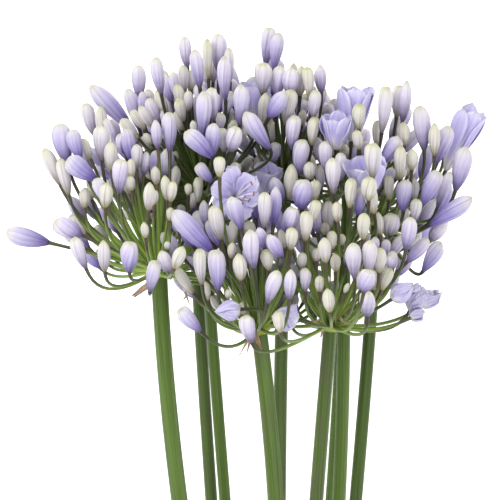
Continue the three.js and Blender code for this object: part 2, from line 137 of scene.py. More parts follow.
# Their FILL_HIGHEST, for each stem, because some heads show their pedicels on the upper side.
YOUNG_HIGHEST = {1: 0.1, 2: 0.0, 3: 0.55, 4: 0.1, 5: 0.55, 6: 0.1, 7: 0.55, 8: 0.1, 9: 0.55}
YOUNG_SKIRT = {1: (0, 108, 230)}  # their FILL_SKIRT on the first head, whose pedicels show
YOUNG_ROOM = 0.85  # how much of its usual room one needs

# Nine stems, from left to right. radius is the scape's; hub is where the pedicels meet; lean is how
# far the stem runs sideways and upwards in each millimetre along it, just under the head. buds:
# foot x, foot y, tip x, tip y, width, the ripeness from 0 (cream) to 1 (violet), and for some the
# bend that their pedicel tries first. flowers: foot x, foot y, mouth x, mouth y, mouth radius, rise
# of the mouth over the foot, and the flower's habit. resting: from the hub to the foot of a bud that
# lies on the surface. small_buds, back_buds (behind the hub) and small_flowers are ones that only
# the finished bunch has.
STEMS = (
    dict(
        radius=6.15, hub=(-63.5, 161, 176), lean=(-0.045, 0.16), row="upper",
        buds=(
            (-140, 180, -169, 187, 13, 0.75), (-116, 185, -135, 194, 13, 0.6),
            (-113, 162, -121, 183, 9.1, 0.35), (-100, 160, -101, 181, 9.1, 0.25),
            (-83, 160, -83, 180, 12.6, 0.65), (-69, 146, -65, 167, 9.8, 0.5),
            (-132, 220, -143, 245, 9.1, 0.2), (-126, 213, -132, 238, 8.4, 0.2),
            (-127, 235, -133, 262, 13.6, 0.7), (-107, 224, -126, 238, 13.3, 0.95),
            (-103, 237, -104, 261, 11.9, 0.3), (-96, 230, -97, 250, 9.1, 0.15),
            (-90, 214, -89, 237, 10.5, 0.5), (-100, 204, -99, 221, 9.8, 0.1),
            (-70, 202, -69, 221, 8.4, 0.15), (-56, 243, -57, 270, 10.5, 0.6),
        ),
        small_buds=(
            (-115, 204, -115, 218, 7.7), (-57, 209, -59, 226, 7), (-55, 208, -53, 222, 6.3),
            (-111, 238, -117, 252, 7.7), (-79, 231, -79, 248, 7.7), (-74, 227, -72, 243, 7),
            (-64, 245, -66, 265, 7.7), (-49, 188, -50, 199, 6.3), (-72, 183, -73, 194, 5.6),
            (-55, 195, -55, 204, 4.9), (-57, 175, -57, 181, 4.2),
            (-118, 238, -124, 258, 10.5, 0.8), (-55, 159, -61, 174, 9, 0.35),
            (-52, 162, -46, 177, 8.4, 0.1), (-82, 225, -83, 238, 6, 0.1),
            (-82, 216, -83, 226, 5.5, 0.1), (-65, 220, -66, 233, 6.5, 0.1),
            (-66, 206, -65, 216, 5, 0.1), (-110, 210, -112, 220, 5, 0.1),
        ),
        back_buds=(
            (-111, 230, -119, 247, 9), (-92, 224, -96, 243, 8), (-115, 196, -126, 212, 9),
            (-114, 186, -125, 198, 8), (-106, 196, -116, 213, 9), (-103, 208, -112, 226, 9),
            (-99, 206, -107, 224, 9), (-57, 162, -49, 180, 9),
        ),
    ),
    dict(
        radius=4.55, hub=(-39, 190, 90), lean=(-0.05, 0.08), row="lower", resting=(-8, 34),
        buds=(
            (-110, 256, -116, 278, 9.8, 0.3), (-104, 254, -106, 276, 8.4, 0.15),
            (-83, 260, -112, 290, 13.3, 0.75), (-78, 282, -79, 305, 10.5, 0.45),
            (-78, 260, -86, 288, 9.8, 0.65), (-71, 268, -72, 288, 9.1, 0.3),
            (-61, 281, -61, 301, 8.4, 0), (-51, 272, -55, 288, 9.1, 0.4),
        ),
        small_buds=(
            (-85, 238, -90, 257, 7.7), (-93, 251, -102, 267, 6.3), (-82, 248, -82, 259, 7),
            (-73, 245, -73, 257, 6.3), (-55, 231, -52, 244, 6.3), (-47, 248, -46, 265, 7),
            (-48, 256, -48, 274, 8.4), (-36, 208, -36, 225, 7), (-87, 242, -90, 257, 10, 0.5),
            (-93, 251, -99, 267, 9.8, 0.4), (-43, 213, -43, 221, 5, 0),
        ),
        back_buds=(
            (-74, 266, -76, 286, 7), (-60, 235, -62, 256, 8), (-55, 262, -56, 284, 7),
            (-47, 188, -57, 205, 9), (-31, 189, -21, 207, 9), (-11, 181, 5, 186, 8),
        ),
    ),
    dict(
        radius=4.3, hub=(-33.5, 217, 130), lean=(-0.06, 0.12), row="lower",
        buds=(
            (-62, 284, -66, 309, 9.1, 0.4), (-44, 303, -46, 324, 8.4, 0.4),
            (-35, 288, -39, 314, 9.1, 0.6), (-22, 300, -22, 326, 11.2, 0.5),
            (-17, 279, -18, 309, 9.8, 0.55), (-33, 255, -32, 284, 10.5, 0.6),
            (-25, 265, -27, 287, 8.4, 0.35), (-7, 262, -6, 289, 11.2, 0.6),
            (-26, 240, -25, 262, 9.8, 0.8), (-18, 243, -20, 259, 8.4, 0.3),
            (-13, 243, -10, 260, 10.5, 0.35), (14, 245, -3, 270, 11.9, 0.7),
            (-26, 239, -44, 256, 12.6, 0.95),
        ),
        small_buds=(
            (-31, 287, -33, 308, 7), (-46, 285, -47, 304, 7.7), (-41, 286, -41, 301, 7),
            (-43, 272, -43, 286, 7), (-36, 280, -36, 292, 7), (-29, 295, -30, 322, 7),
            (-14, 293, -15, 316, 7), (-26, 293, -25, 309, 7.7), (-38, 256, -40, 265, 5, 0.2),
            (-22, 257, -21, 270, 9, 0.3), (-22, 271, -24, 284, 6.5, 0.6),
            (-26, 222, -36, 234, 9, 0.8),
        ),
        back_buds=(
            (-92, 223, -108, 234, 9), (-92, 237, -106, 251, 9), (-85, 227, -101, 239, 9),
            (-63, 211, -81, 220, 9), (-63, 253, -71, 271, 9),
            (-55, 257, -61, 276, 9), (-50, 214, -61, 222, 7), (-34, 270, -35, 290, 9),
            (-22, 271, -19, 291, 9), (-17, 247, -11, 266, 9),
        ),
    ),
    dict(
        radius=6, hub=(6, 121, 192), lean=(-0.13, 0.16), row="upper",
        buds=(
            (16, 192, 18, 218, 9.1, 0.85), (10, 190, 10, 214, 9.1, 0.3),
            (-6, 189, -13, 211, 11.2, 0.7), (-20, 182, -25, 205, 9.8, 0.2),
            (3, 162, 0, 188, 11.2, 0.5), (-22, 147, -24, 174, 11.9, 0.65),
            (-33, 151, -35, 175, 9.1, 0.2), (-6, 154, -8, 172, 9.1, 0.15),
            (13, 161, 11, 175, 8.4, 0.05), (12, 138, 19, 160, 10.5, 0.4),
            (27, 141, 28, 161, 8.4, 0.4), (-39, 145, -51, 162, 7.7, 0.1),
            (-34, 119, -48, 134, 10.5, 0.65), (-26, 174, -52, 201, 13.3, 0.95),
            (28, 188, 29, 204, 9.8, 0.5), (28, 175, 29, 190, 8.4, 0.05),
            (-21, 225, -21, 239, 8.4, 0.05),
        ),
        small_buds=(
            (-31, 192, -32, 209, 7), (-29, 140, -31, 153, 5.6), (-15, 141, -15, 148, 4.9),
            (-5, 130, -4, 139, 6.3), (10, 176, 6, 190, 8.4, 0.8), (22, 170, 13, 185, 9, 0.7),
            (-9, 227, -11, 236, 7.5, 0.1), (1, 182, -1, 195, 7.7, 0.1),
            (-12, 178, -11, 196, 6.5, 0.15), (-13, 169, -12, 180, 6, 0.1),
            (24, 176, 21, 189, 5.5, 0.1),
        ),
        back_buds=(
            (-17, 148, -15, 168, 8), (14, 145, 17, 165, 9), (23, 146, 30, 165, 9),
        ),
        flowers=((-11, 209, -10, 215, 17, 24, "open"), (-7, 134, -23, 132, 8, 6, "nodding")),
    ),
    dict(
        radius=5, hub=(25, 231, 92), lean=(0.03, 0.08), row="lower", resting=(3, 34),
        buds=(
            (11, 306, 14, 331, 10.5, 0.5), (17, 302, 20, 327, 9.8, 0.65),
            (9, 284, 9, 305, 12.3, 0.3), (19, 281, 21, 303, 11, 0.5),
            (28, 283, 29, 302, 11, 0.45), (35, 283, 36, 303, 9.8, 0.2),
            (42, 281, 40, 302, 8.4, 0.1), (50, 285, 49, 304, 8.4, 0.55),
            (44, 267, 46, 286, 8.4, 0.3), (25, 262, 29, 286, 10.5, 0.2),
            (9, 262, 11, 284, 9.1, 0.15), (29, 245, 31, 268, 10.5, 0.45),
            (34, 227, 37, 251, 11.2, 0.6), (43, 248, 45, 267, 8.4, 0.1),
            (27, 210, 29, 234, 9.1, 0.1),
        ),
        small_buds=(
            (42, 224, 41, 236, 8.4), (31, 295, 31, 307, 5.6), (14, 248, 15, 266, 7.7, 0.15),
            (13, 267, 24, 285, 11, 0.8), (33, 267, 40, 279, 8, 0.8), (22, 208, 16, 225, 10, 0.85),
            (16, 236, 18, 250, 8.5, 0.6), (17, 249, 19, 262, 7, 0.6),
            (36, 262, 37, 273, 6, 0.1), (50, 217, 49, 234, 7, 0.3),
        ),
        back_buds=(
            (-6, 276, -14, 295, 9), (3, 242, -9, 257, 9), (4, 258, -4, 277, 9),
            (9, 235, -4, 251, 9), (15, 294, 13, 314, 9), (19, 200, 8, 184, 9),
            (21, 289, 20, 309, 9), (28, 253, 29, 273, 9), (45, 239, 57, 254, 9),
        ),
        flowers=((3, 264, 3, 292, 13, 6, "trumpet"), (9, 214, 12, 233, 11, 8, "trumpet")),
    ),
    dict(
        radius=5.2, hub=(56, 123, 182), lean=(0.08, 0.15), row="upper",
        buds=(
            (55, 132, 53, 148, 8.4, 0.1), (38, 181, 39, 201, 9.1, 0.15),
            (42, 193, 46, 209, 8.4, 0.05), (52, 166, 51, 183, 9.1, 0.15),
            (72, 155, 71, 179, 11.2, 0.35), (82, 158, 83, 181, 10.5, 0.3),
            (89, 159, 89, 176, 9.1, 0.15), (81, 129, 80, 146, 10.5, 0.4),
            (78, 182, 79, 200, 8.4, 0.05), (108, 175, 111, 197, 10.5, 0.55),
            (1.5, 111, -3, 129.5, 10.5, 0.4, 0.2), (21, 118, 19, 133, 8, 0, 0.2),
        ),
        small_buds=(
            (38, 146, 38, 162, 7.7), (36, 162, 36, 173, 6.3), (48, 146, 48, 157, 6.3),
            (61, 194, 60, 208, 7), (56, 175, 57, 188, 7), (63, 178, 64, 186, 5.6),
            (46, 167, 46, 176, 5.6), (59, 160, 59, 172, 7), (85, 147, 85, 161, 6.3),
            (76, 147, 76, 160, 6.3), (91, 147, 97, 162, 7), (52, 185, 52, 194, 6.3),
            (99, 162, 99, 174, 7), (78, 146, 81, 161, 11, 0.6), (91, 185, 89, 201, 6.3, 0.1),
            (81, 189, 81, 200, 5.5, 0.1), (82, 180, 82, 187, 5, 0.1), (86, 174, 87, 184, 6.5, 0.5),
            (94, 171, 95, 182, 6.5, 0.5), (65, 145, 68, 152, 4, 0), (53, 152, 54, 157, 4, 0),
            (98, 161, 97, 171, 7, 0.5),
        ),
        back_buds=(
            (32, 143, 34, 166, 8), (54, 131, 52, 151, 9),
        ),
        small_flowers=(
            (119, 136, 131, 146, 5.5, 2, "crumpled"), (111, 128, 122, 134, 4.5, -2, "crumpled"),
        ),
        flowers=(
            (33, 127, 18, 132, 10, 4, "crumpled"), (98, 141, 112, 151, 8, 4, "nodding"),
            (111, 133, 120, 150, 7.5, 4, "crumpled"),
        ),
    ),
    dict(
        radius=4.4, hub=(69, 218, 102), lean=(0.03, 0.1), row="lower",
        buds=(
            (76, 259, 76, 276, 9.1, 0), (92, 257, 95, 288, 9.8, 0.3), (53, 230, 52, 250, 9.1, 0.5),
            (63, 223, 63, 242, 8.4, 0.4), (58, 241, 55, 260, 8, 0.15),
        ),
        small_buds=(
            (76, 245, 74, 258, 7), (66, 240, 66, 249, 6.3), (89, 246, 89, 265, 6.3),
        ),
        back_buds=(
            (49, 247, 51, 268, 8), (61, 202, 81, 204, 9), (62, 223, 54, 241, 9),
            (67, 241, 66, 261, 9), (71, 231, 73, 251, 9), (86, 222, 99, 237, 9),
            (99, 252, 107, 270, 9), (107, 243, 119, 259, 9), (107, 259, 112, 275, 8),
        ),
        flowers=((71, 251, 74, 289.5, 13, 4, "trumpet"), (60, 245, 60, 270, 12, 8, "trumpet")),
    ),
    dict(
        radius=5, hub=(65.5, 175, 140), lean=(-0.015, 0.12), row="upper",
        buds=(
            (58, 214, 57, 238, 10.5, 0.3), (36, 203, 37, 223, 13.3, 0.85),
            (69, 204, 70, 224, 8.4, 0.1), (86, 200, 82, 218, 9.1, 0.1),
            (82, 209, 82, 225, 10.5, 0.1), (85, 225, 85, 248, 12.6, 0.25),
        ),
        small_buds=(
            (45, 209, 46, 223, 7.7), (97, 210, 97, 227, 7), (64, 175, 74, 195, 12.6, 0.8),
            (75, 199, 78, 218, 8.5, 0.9),
        ),
        back_buds=(
            (48, 186, 50, 208, 9), (45, 186, 33, 202, 9), (67, 164, 74, 183, 9),
            (75, 169, 89, 182, 9), (84, 162, 103, 164, 9),
        ),
        flowers=((84, 214, 79, 237, 15, 12, "trumpet"),),
    ),
    dict(
        radius=4.8, hub=(90, 197, 92), lean=(0.06, 0.09), row="lower", resting=(10, 32),
        buds=(
            (103, 268, 106, 290, 9.8, 0.25), (107, 265, 110, 293, 8.4, 0.4),
            (122, 245, 119, 275, 11.9, 0.45), (129, 241, 129, 263, 8.4, 0.1),
            (144, 217, 151, 246, 12.6, 0.6), (125, 192, 154, 211, 12.6, 0.9),
            (126, 181, 137, 196, 10.5, 0.35), (121, 160, 133, 180, 11.2, 0.75),
            (108, 248, 107, 264, 9.1, 0.05), (105, 224, 105, 247, 8.4, 0.1),
            (113, 231, 113, 245, 8.4, 0.1), (107, 202, 108, 223, 11.2, 0.8),
            (120, 206, 131, 229, 11.9, 0.8), (114, 195, 116, 210, 8.4, 0.25),
            (98, 185, 98, 200, 11.9, 0.3),
        ),
        small_buds=(
            (137, 243, 137, 260, 7.7), (115, 210, 115, 225, 7.7), (131, 204, 140, 229, 7.7),
            (108, 195, 108, 204, 7), (131, 236, 139, 261, 13, 0.7), (92, 236, 104, 253, 11.5, 0.8),
        ),
        back_buds=(
            (113, 168, 119, 190, 9), (118, 192, 125, 212, 8), (118, 178, 126, 197, 8),
            (121, 224, 126, 248, 9), (132, 200, 141, 222, 10),
            (83, 234, 81, 251, 8), (96, 176, 111, 163, 9), (113, 184, 133, 189, 9),
            (120, 193, 131, 210, 9),
        ),
        flowers=((138, 231, 158.7, 275, 12, 6, "trumpet"),),
    ),
)

# ---- Small helpers ----


def point(x, y, z):
    return np.array((x, y, z), dtype=float)


def unit(vector):
    return vector / np.linalg.norm(vector)


def mix(low, high, share):
    return low + (high - low) * share


def shade(red, green, blue):
    """A colour from its usual 0 to 255 screen values, as Blender's linear colour."""
    def linear(value):
        value /= 255
        return value / 12.92 if value <= 0.04045 else ((value + 0.055) / 1.055) ** 2.4
    return linear(red), linear(green), linear(blue)


def seeded_draw(seed):
    """Repeatable draws between 0 and 1 from a whole-number seed."""
    mask = 0xFFFFFFFF
    state = seed & mask

    def draw():
        nonlocal state
        state = (state + 0x6D2B79F5) & mask
        bits = ((state ^ (state >> 15)) * (state | 1)) & mask
        bits = ((bits + (bits ^ (bits >> 7)) * (bits | 61)) & mask) ^ bits
        return ((bits ^ (bits >> 14)) & mask) / 4294967296

    return draw


# ---- Where everything grows ----


@dataclass
class Sprig:
    """One bud or flower with its pedicel, which runs from root to foot past control."""

    root: np.ndarray
    control: np.ndarray
    foot: np.ndarray
    axis: np.ndarray
    length: float
    radius: float
    seed: int
    habit: str = "bud"
    ripeness: float = None
    bends: tuple = ()


@dataclass
class Stem:
    """One scape with its head. cut is the middle of its cut end."""

    number: int
    radius: float
    hub: np.ndarray
    axis: np.ndarray
    row: str
    rows: dict
    cut: np.ndarray = None
    buds: list = field(default_factory=list)
    flowers: list = field(default_factory=list)


class Crowd:
    """Capsules that have grown so far: two points, a radius, the head they are on, and their kind."""

    ROOM = 4096

    def __init__(self):
        self.start = np.zeros((self.ROOM, 3))
        self.run = np.zeros((self.ROOM, 3))
        self.radius = np.zeros(self.ROOM)
        self.head = np.zeros(self.ROOM, int)
        self.thin = np.zeros(self.ROOM, bool)
        self.dome = np.zeros(self.ROOM, bool)
        self.count = 0

    def add(self, start, end, radius, part, head):
        i = self.count
        self.start[i] = start
        self.run[i] = end - start
        self.radius[i] = radius
        self.head[i] = head
        self.thin[i] = part != "bud"
        self.dome[i] = part == "receptacle"
        self.count += 1

    def clears(self, capsules, head):
        return all(self.clears_one(*capsule, head) for capsule in capsules)

    def clears_one(self, start, end, radius, part, head):
        if min(start[2], end[2]) - radius < 0:
            return False
        n = self.count
        own = self.head[:n] == head
        skipped = own & ((self.thin[:n] & (part != "bud")) | self.dome[:n])
        room = radius + self.radius[:n] + np.where(own, 0, GROWING_GAP)
        u = end - start
        reach = np.linalg.norm(u) + np.linalg.norm(self.run[:n], axis=1)
        near = np.linalg.norm(self.start[:n] - start, axis=1) - reach <= room
        close = np.nonzero(near & ~skipped)[0]
        if not len(close):
            return True
        v = self.run[close]
        w = start - self.start[close]
        uu, uv, vv = u @ u, v @ u, (v * v).sum(1)
        uw, vw = w @ u, (v * w).sum(1)
        spread = uu * vv - uv * uv
        flat = spread <= 1e-9
        s = np.where(flat, 0, np.clip((uv * vw - vv * uw) / np.where(flat, 1, spread), 0, 1))
        t = np.clip((uv * s + vw) / vv, 0, 1)
        s = np.clip((uv * t - uw) / uu, 0, 1)
        gaps = np.linalg.norm(w + s[:, None] * u - t[:, None] * v, axis=1)
        return bool((gaps >= room[close]).all())


def cubic_point(points, t):
    """A place on a cubic curve, from its two ends and two control points."""
    a, b, c, d = points
    s = 1 - t
    return a * s ** 3 + b * (3 * s * s * t) + c * (3 * s * t * t) + d * t ** 3


def curve_point(sprig, t):
    """A place on a sprig's pedicel."""
    s = 1 - t
    return sprig.root * (s * s) + sprig.control * (2 * s * t) + sprig.foot * (t * t)


def pile_cut_ends(stems):
    """Cut ends lie in a lower row on the surface, and the upper row lies in its grooves."""
    flatness = math.cos(math.pi / SCAPE_SIDES)
    lower = [stem for stem in stems if stem.row == "lower"]
    for i, stem in enumerate(lower):
        stem.cut = point(PILE_LEFT_X + i * PILE_PITCH, CUT_END_Y, stem.radius * flatness)
    for i, stem in enumerate(stem for stem in stems if stem.row == "upper"):
        left, right = lower[i], lower[i + 1]
        span = right.cut - left.cut
        to_left = left.radius + stem.radius + TOUCHING_GAP
        to_right = right.radius + stem.radius + TOUCHING_GAP
        width = np.linalg.norm(span)
        share = (to_left ** 2 - to_right ** 2 + width ** 2) / (2 * width)
        height = math.sqrt(to_left ** 2 - share ** 2)
        level = span / width
        stem.cut = left.cut + level * share + point(-level[2], 0, level[0]) * height


def lay_scape(stem, steps):
    """The scape's middle line: flat on the surface at its cut end, then rising to the head."""
    top = stem.hub - stem.axis * (RECEPTACLE_BASE + TOUCHING_GAP)
    lift = stem.cut + point(0, FLAT_RUN, 0)
    corners = (lift, lift + point(0, LIFT_REACH, 0), top - stem.axis * TOP_REACH, top)
    return [stem.cut] + [cubic_point(corners, i / steps) for i in range(steps + 1)]


def pedicel_curve(stem, foot, axis, bend):
    """A pedicel leaves towards a point behind the bud's foot, so that it meets the bud in line."""
    control = foot - axis * (bend * np.linalg.norm(stem.hub - foot))
    out = unit(control - stem.hub)
    rise = out @ stem.axis
    if rise < 0:
        out = unit(out - stem.axis * rise)
    return stem.hub + out * ROOT_REACH, control


def grow(crowd, stem, spec, steps, body, room=1.0):
    """Tries each bend and depth until the sprig is clear of all that has grown before it."""
    for bend in (*spec.bends, *PEDICEL_BENDS):
        for step in steps:
            foot = spec.foot + point(0, 0, step)
            root, control = pedicel_curve(stem, foot, spec.axis, bend)
            sprig = replace(spec, root=root, control=control, foot=foot)
            start, middle = curve_point(sprig, PEDICEL_CLEAR_FROM), curve_point(sprig, 0.5)
            widest = spec.radius * (1 if spec.habit == "bud" else FLOWER_ROOM)
            low = foot + spec.axis * (spec.length * body[0])
            high = foot + spec.axis * (spec.length * body[1])
            capsules = (
                (start, middle, PEDICEL_ROOM * room, "pedicel"),
                (middle, foot, PEDICEL_ROOM * room, "pedicel"),
                (foot, low, widest * BUD_WAIST * room, "bud"),
                (low, high, widest * room, "bud"),
            )
            if crowd.clears(capsules, stem.number):
                for capsule in capsules:
                    crowd.add(*capsule, stem.number)
                (stem.buds if spec.habit == "bud" else stem.flowers).append(sprig)
                return True
    return False


def grow_key_bud(crowd, stem, row, seed):
    """A bud at a given place across and along the bunch, as far out as its pedicel's length allows."""
    foot_x, foot_y, tip_x, tip_y, width = row[:5]
    reach = SMALL_BUD_REACH if width < SMALL_BUD_WIDTH else BUD_REACH
    aside = math.hypot(foot_x - stem.hub[0], foot_y - stem.hub[1])
    outward = math.sqrt(max(0, reach ** 2 - aside ** 2))
    flat = math.hypot(tip_x - foot_x, tip_y - foot_y)
    axis = point(tip_x - foot_x, tip_y - foot_y, BUD_NOD * flat * outward / reach)
    foot = point(foot_x, foot_y, stem.hub[2] + outward)
    spec = Sprig(None, None, foot, unit(axis), np.linalg.norm(axis), width / 2, seed)
    spec.ripeness = row[5] if len(row) > 5 else None
    spec.bends = row[6:]
    grow(crowd, stem, spec, DEPTH_STEPS, BUD_BODY)


def grow_back_bud(crowd, stem, row, seed):
    """The same behind the hub, where it only shows between the others."""
    foot_x, foot_y, tip_x, tip_y, width = row
    aside = math.hypot(foot_x - stem.hub[0], foot_y - stem.hub[1])
    depth = math.sqrt(max(0, BACK_BUD_REACH ** 2 - aside ** 2))
    axis = point(tip_x - foot_x, tip_y - foot_y, 0)
    foot = point(foot_x, foot_y, max(stem.hub[2] - depth, width))
    spec = Sprig(None, None, foot, unit(axis), np.linalg.norm(axis), width / 2, seed)
    grow(crowd, stem, spec, DEPTH_STEPS, BUD_BODY)


def grow_resting_bud(crowd, stem, seed):
    """A bud that lies on the surface and carries its head."""
    aside, ahead = stem.rows["resting"]
    foot = point(stem.hub[0] + aside, stem.hub[1] + ahead, RESTING_RADIUS + RESTING_GAP)
    axis = unit(point(aside, ahead, 0))
    spec = Sprig(None, None, foot, axis, RESTING_LENGTH, RESTING_RADIUS, seed)
    grow(crowd, stem, spec, (0,), BUD_BODY)


def grow_flower(crowd, stem, row, seed):
    """A flower from its foot to the middle of its mouth."""
    foot_x, foot_y, mouth_x, mouth_y, mouth, rise, habit = row
    aside = math.hypot(foot_x - stem.hub[0], foot_y - stem.hub[1])
    outward = math.sqrt(max(0, SMALL_BUD_REACH ** 2 - aside ** 2))
    axis = point(mouth_x - foot_x, mouth_y - foot_y, rise)
    foot = point(foot_x, foot_y, stem.hub[2] + outward)
    spec = Sprig(None, None, foot, unit(axis), np.linalg.norm(axis), mouth, seed, habit)
    grow(crowd, stem, spec, DEPTH_STEPS, FLOWER_BODY)


def spread_direction(stem, k):
    """The k-th direction of an even spread over a head, from a low-discrepancy pair."""
    polar = math.acos(1 - (1 - math.cos(FILL_WIDEST)) * ((0.5 + k * SPREAD_STEPS[0]) % 1))
    around = 2 * math.pi * ((k * SPREAD_STEPS[1]) % 1)
    side = unit(np.cross(stem.axis, (0, 0, 1)))
    up = np.cross(side, stem.axis)
    return (stem.axis * math.cos(polar) + side * (math.sin(polar) * math.cos(around))
            + up * (math.sin(polar) * math.sin(around)))


def over_skirt(place, skirt):
    """Whether a place is inside the parabola that the bunch's lower edge follows."""
    middle, low, width = skirt
    return place[1] >= low + (place[0] - middle) ** 2 / width


def grow_fill_bud(crowd, stem, k, reach, lengths, room, highest, skirt):
    """The k-th bud of a head's even spread, if it stays inside the bunch and has room."""
    draw = seeded_draw((stem.number - 1) * SEEDS_PER_HEAD + k)
    size = math.sqrt(draw())
    direction = spread_direction(stem, k)
    turned = FILL_UPTURN * (1 - direction @ stem.axis)
    length = mix(*lengths, size)
    foot = stem.hub + direction * mix(*reach, (2 * size + draw()) / 3)
    axis = unit(direction + stem.axis * turned)
    tip = foot + axis * length
    if direction[2] > highest or abs(tip[0]) > FILL_HALF_WIDTH:
        return False
    if tip[1] > FILL_CROWN[1] - (tip[0] - FILL_CROWN[0]) ** 2 / FILL_CROWN_WIDTH:
        return False
    if not (over_skirt(foot, skirt) and over_skirt(tip, skirt)):
        return False
    radius = FILL_SLENDER[0] + FILL_SLENDER[1] * length
    spec = Sprig(None, None, foot, axis, length, radius, SEEDS_PER_HEAD + k)
    return grow(crowd, stem, spec, (0,), BUD_BODY, room)


def grow_bunch(buds_per_head):
    """Lays the stems and grows every head, first what the frame has and then the rest."""
    stems = []
    for number, rows in enumerate(STEMS, 1):
        axis = unit(point(rows["lean"][0], 1, rows["lean"][1]))
        stems.append(Stem(number, rows["radius"], point(*rows["hub"]), axis, rows["row"], rows))
    pile_cut_ends(stems)
    crowd = Crowd()
    for stem in stems:
        path = lay_scape(stem, SCAPE_STEPS)
        for low, high in zip(path, path[1:]):
            crowd.add(low, high, stem.radius, "scape", 0)
        bottom = stem.hub - stem.axis * RECEPTACLE_BASE
        crowd.add(bottom, stem.hub, stem.radius * RECEPTACLE_WIDTH, "receptacle", stem.number)
    for stem in stems:
        if "resting" in stem.rows:
            grow_resting_bud(crowd, stem, 0)
        for seed, row in enumerate(stem.rows.get("flowers", ())):
            grow_flower(crowd, stem, row, seed)
    for stem in stems:
        for seed, row in enumerate(stem.rows["buds"], 1):
            grow_key_bud(crowd, stem, row, seed)
    tried = {}
    for stem in stems:
        filled = k = 0
        while k < FILL_TRIES and filled < FILL_PER_HEAD:
            filled += grow_fill_bud(crowd, stem, k, FILL_REACH, FILL_LENGTH, 1, FILL_HIGHEST,
                                    FILL_SKIRT)
            k += 1
        tried[stem.number] = k
    for stem in stems:
        for seed, row in enumerate(stem.rows.get("small_flowers", ()), SMALL_FLOWER_SEED):
            grow_flower(crowd, stem, row, seed)
        for seed, row in enumerate(stem.rows["small_buds"], SMALL_BUD_SEED):
            grow_key_bud(crowd, stem, row, seed)
    for stem in stems:
        for seed, row in enumerate(stem.rows["back_buds"], BACK_BUD_SEED):
            grow_back_bud(crowd, stem, row, seed)
    for stem in stems:
        for k in range(tried[stem.number], SEEDS_PER_HEAD):
            if len(stem.buds) >= buds_per_head:
                break
            grow_fill_bud(crowd, stem, k, YOUNG_REACH, YOUNG_LENGTH, YOUNG_ROOM,
                          YOUNG_HIGHEST[stem.number], YOUNG_SKIRT.get(stem.number, FILL_SKIRT))
    return stems


def bunch_shift():
    """From the growth's origin to the frame's, read off the cut end of the frame's second scape."""
    low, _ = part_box("scape_2")
    ring = [v.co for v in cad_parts["scape_2"].data.vertices if v.co.y < low.y + CUT_FACE * MM]
    middle_x = (min(co.x for co in ring) + max(co.x for co in ring)) / 2
    return np.array((middle_x / MM - PILE_LEFT_X, low.y / MM - CUT_END_Y, 0))


SHIFT = bunch_shift()
_grown = {}


def bunch(context):
    """The grown stems, worked out once for each number of buds."""
    wanted = context.scene.agapanthus_sizes.buds_per_head
    if wanted not in _grown:
        _grown[wanted] = grow_bunch(wanted)
    return _grown[wanted]


def in_frame(points):
    """Millimetres of the growth to metres of the frame."""
    return (np.asarray(points, dtype=float) + SHIFT) * MM


# ---- Meshes ----


def new_object(name, vertices, edges=(), faces=()):
    mesh = bpy.data.meshes.new(name)
    mesh.from_pydata([tuple(v) for v in vertices], edges, faces)
    thing = bpy.data.objects.new(name, mesh)
    bpy.context.scene.collection.objects.link(thing)
    return thing


def add_attribute(thing, name, values, kind="FLOAT"):
    attribute = thing.data.attributes.new(name, kind, "POINT")
    key = "vector" if kind == "FLOAT_VECTOR" else "value"
    attribute.data.foreach_set(key, np.asarray(values, dtype=np.float32).ravel())


def keep_result(thing):
    """Puts what an object's modifiers make in its own mesh, and takes them off."""
    graph = bpy.context.evaluated_depsgraph_get()
    made = bpy.data.meshes.new_from_object(
        thing.evaluated_get(graph), preserve_all_data_layers=True, depsgraph=graph)
    made.name = thing.name
    thing.modifiers.clear()
    thing.data = made


def grid_faces(first, rows, columns):
    """The faces of a grid whose points follow each other row by row."""
    starts = [first + r * columns + c for r in range(rows - 1) for c in range(columns - 1)]
    return [(a, a + 1, a + 1 + columns, a + columns) for a in starts]


def sheet_object(name, points, faces, values, material, thickness, offset):
    """One object of thin sheets that are closed all round. offset: -1 grows inwards, 0 both ways."""
    thing = new_object(name, points, (), faces)
    for key in values:
        add_attribute(thing, key, values[key])
    thing.data.materials.append(material)
    skin = thing.modifiers.new("Thickness", "SOLIDIFY")
    skin.thickness = thickness * MM
    skin.offset = offset
    keep_result(thing)
    thing.data.shade_smooth()
    return thing


def settle(thing, tree, **inputs):
    """Runs a Geometry Nodes tree on an object and keeps what it makes as a plain mesh."""
    modifier = thing.modifiers.new(tree.name, "NODES")
    modifier.node_group = tree
    for item in tree.interface.items_tree:
        if item.item_type == "SOCKET" and item.in_out == "INPUT" and item.name in inputs:
            modifier[item.identifier] = inputs[item.name]
    keep_result(thing)
    return thing


def finish_piece(thing, replaced=()):
    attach(thing, "root")
    if replaced:
        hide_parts(*replaced)


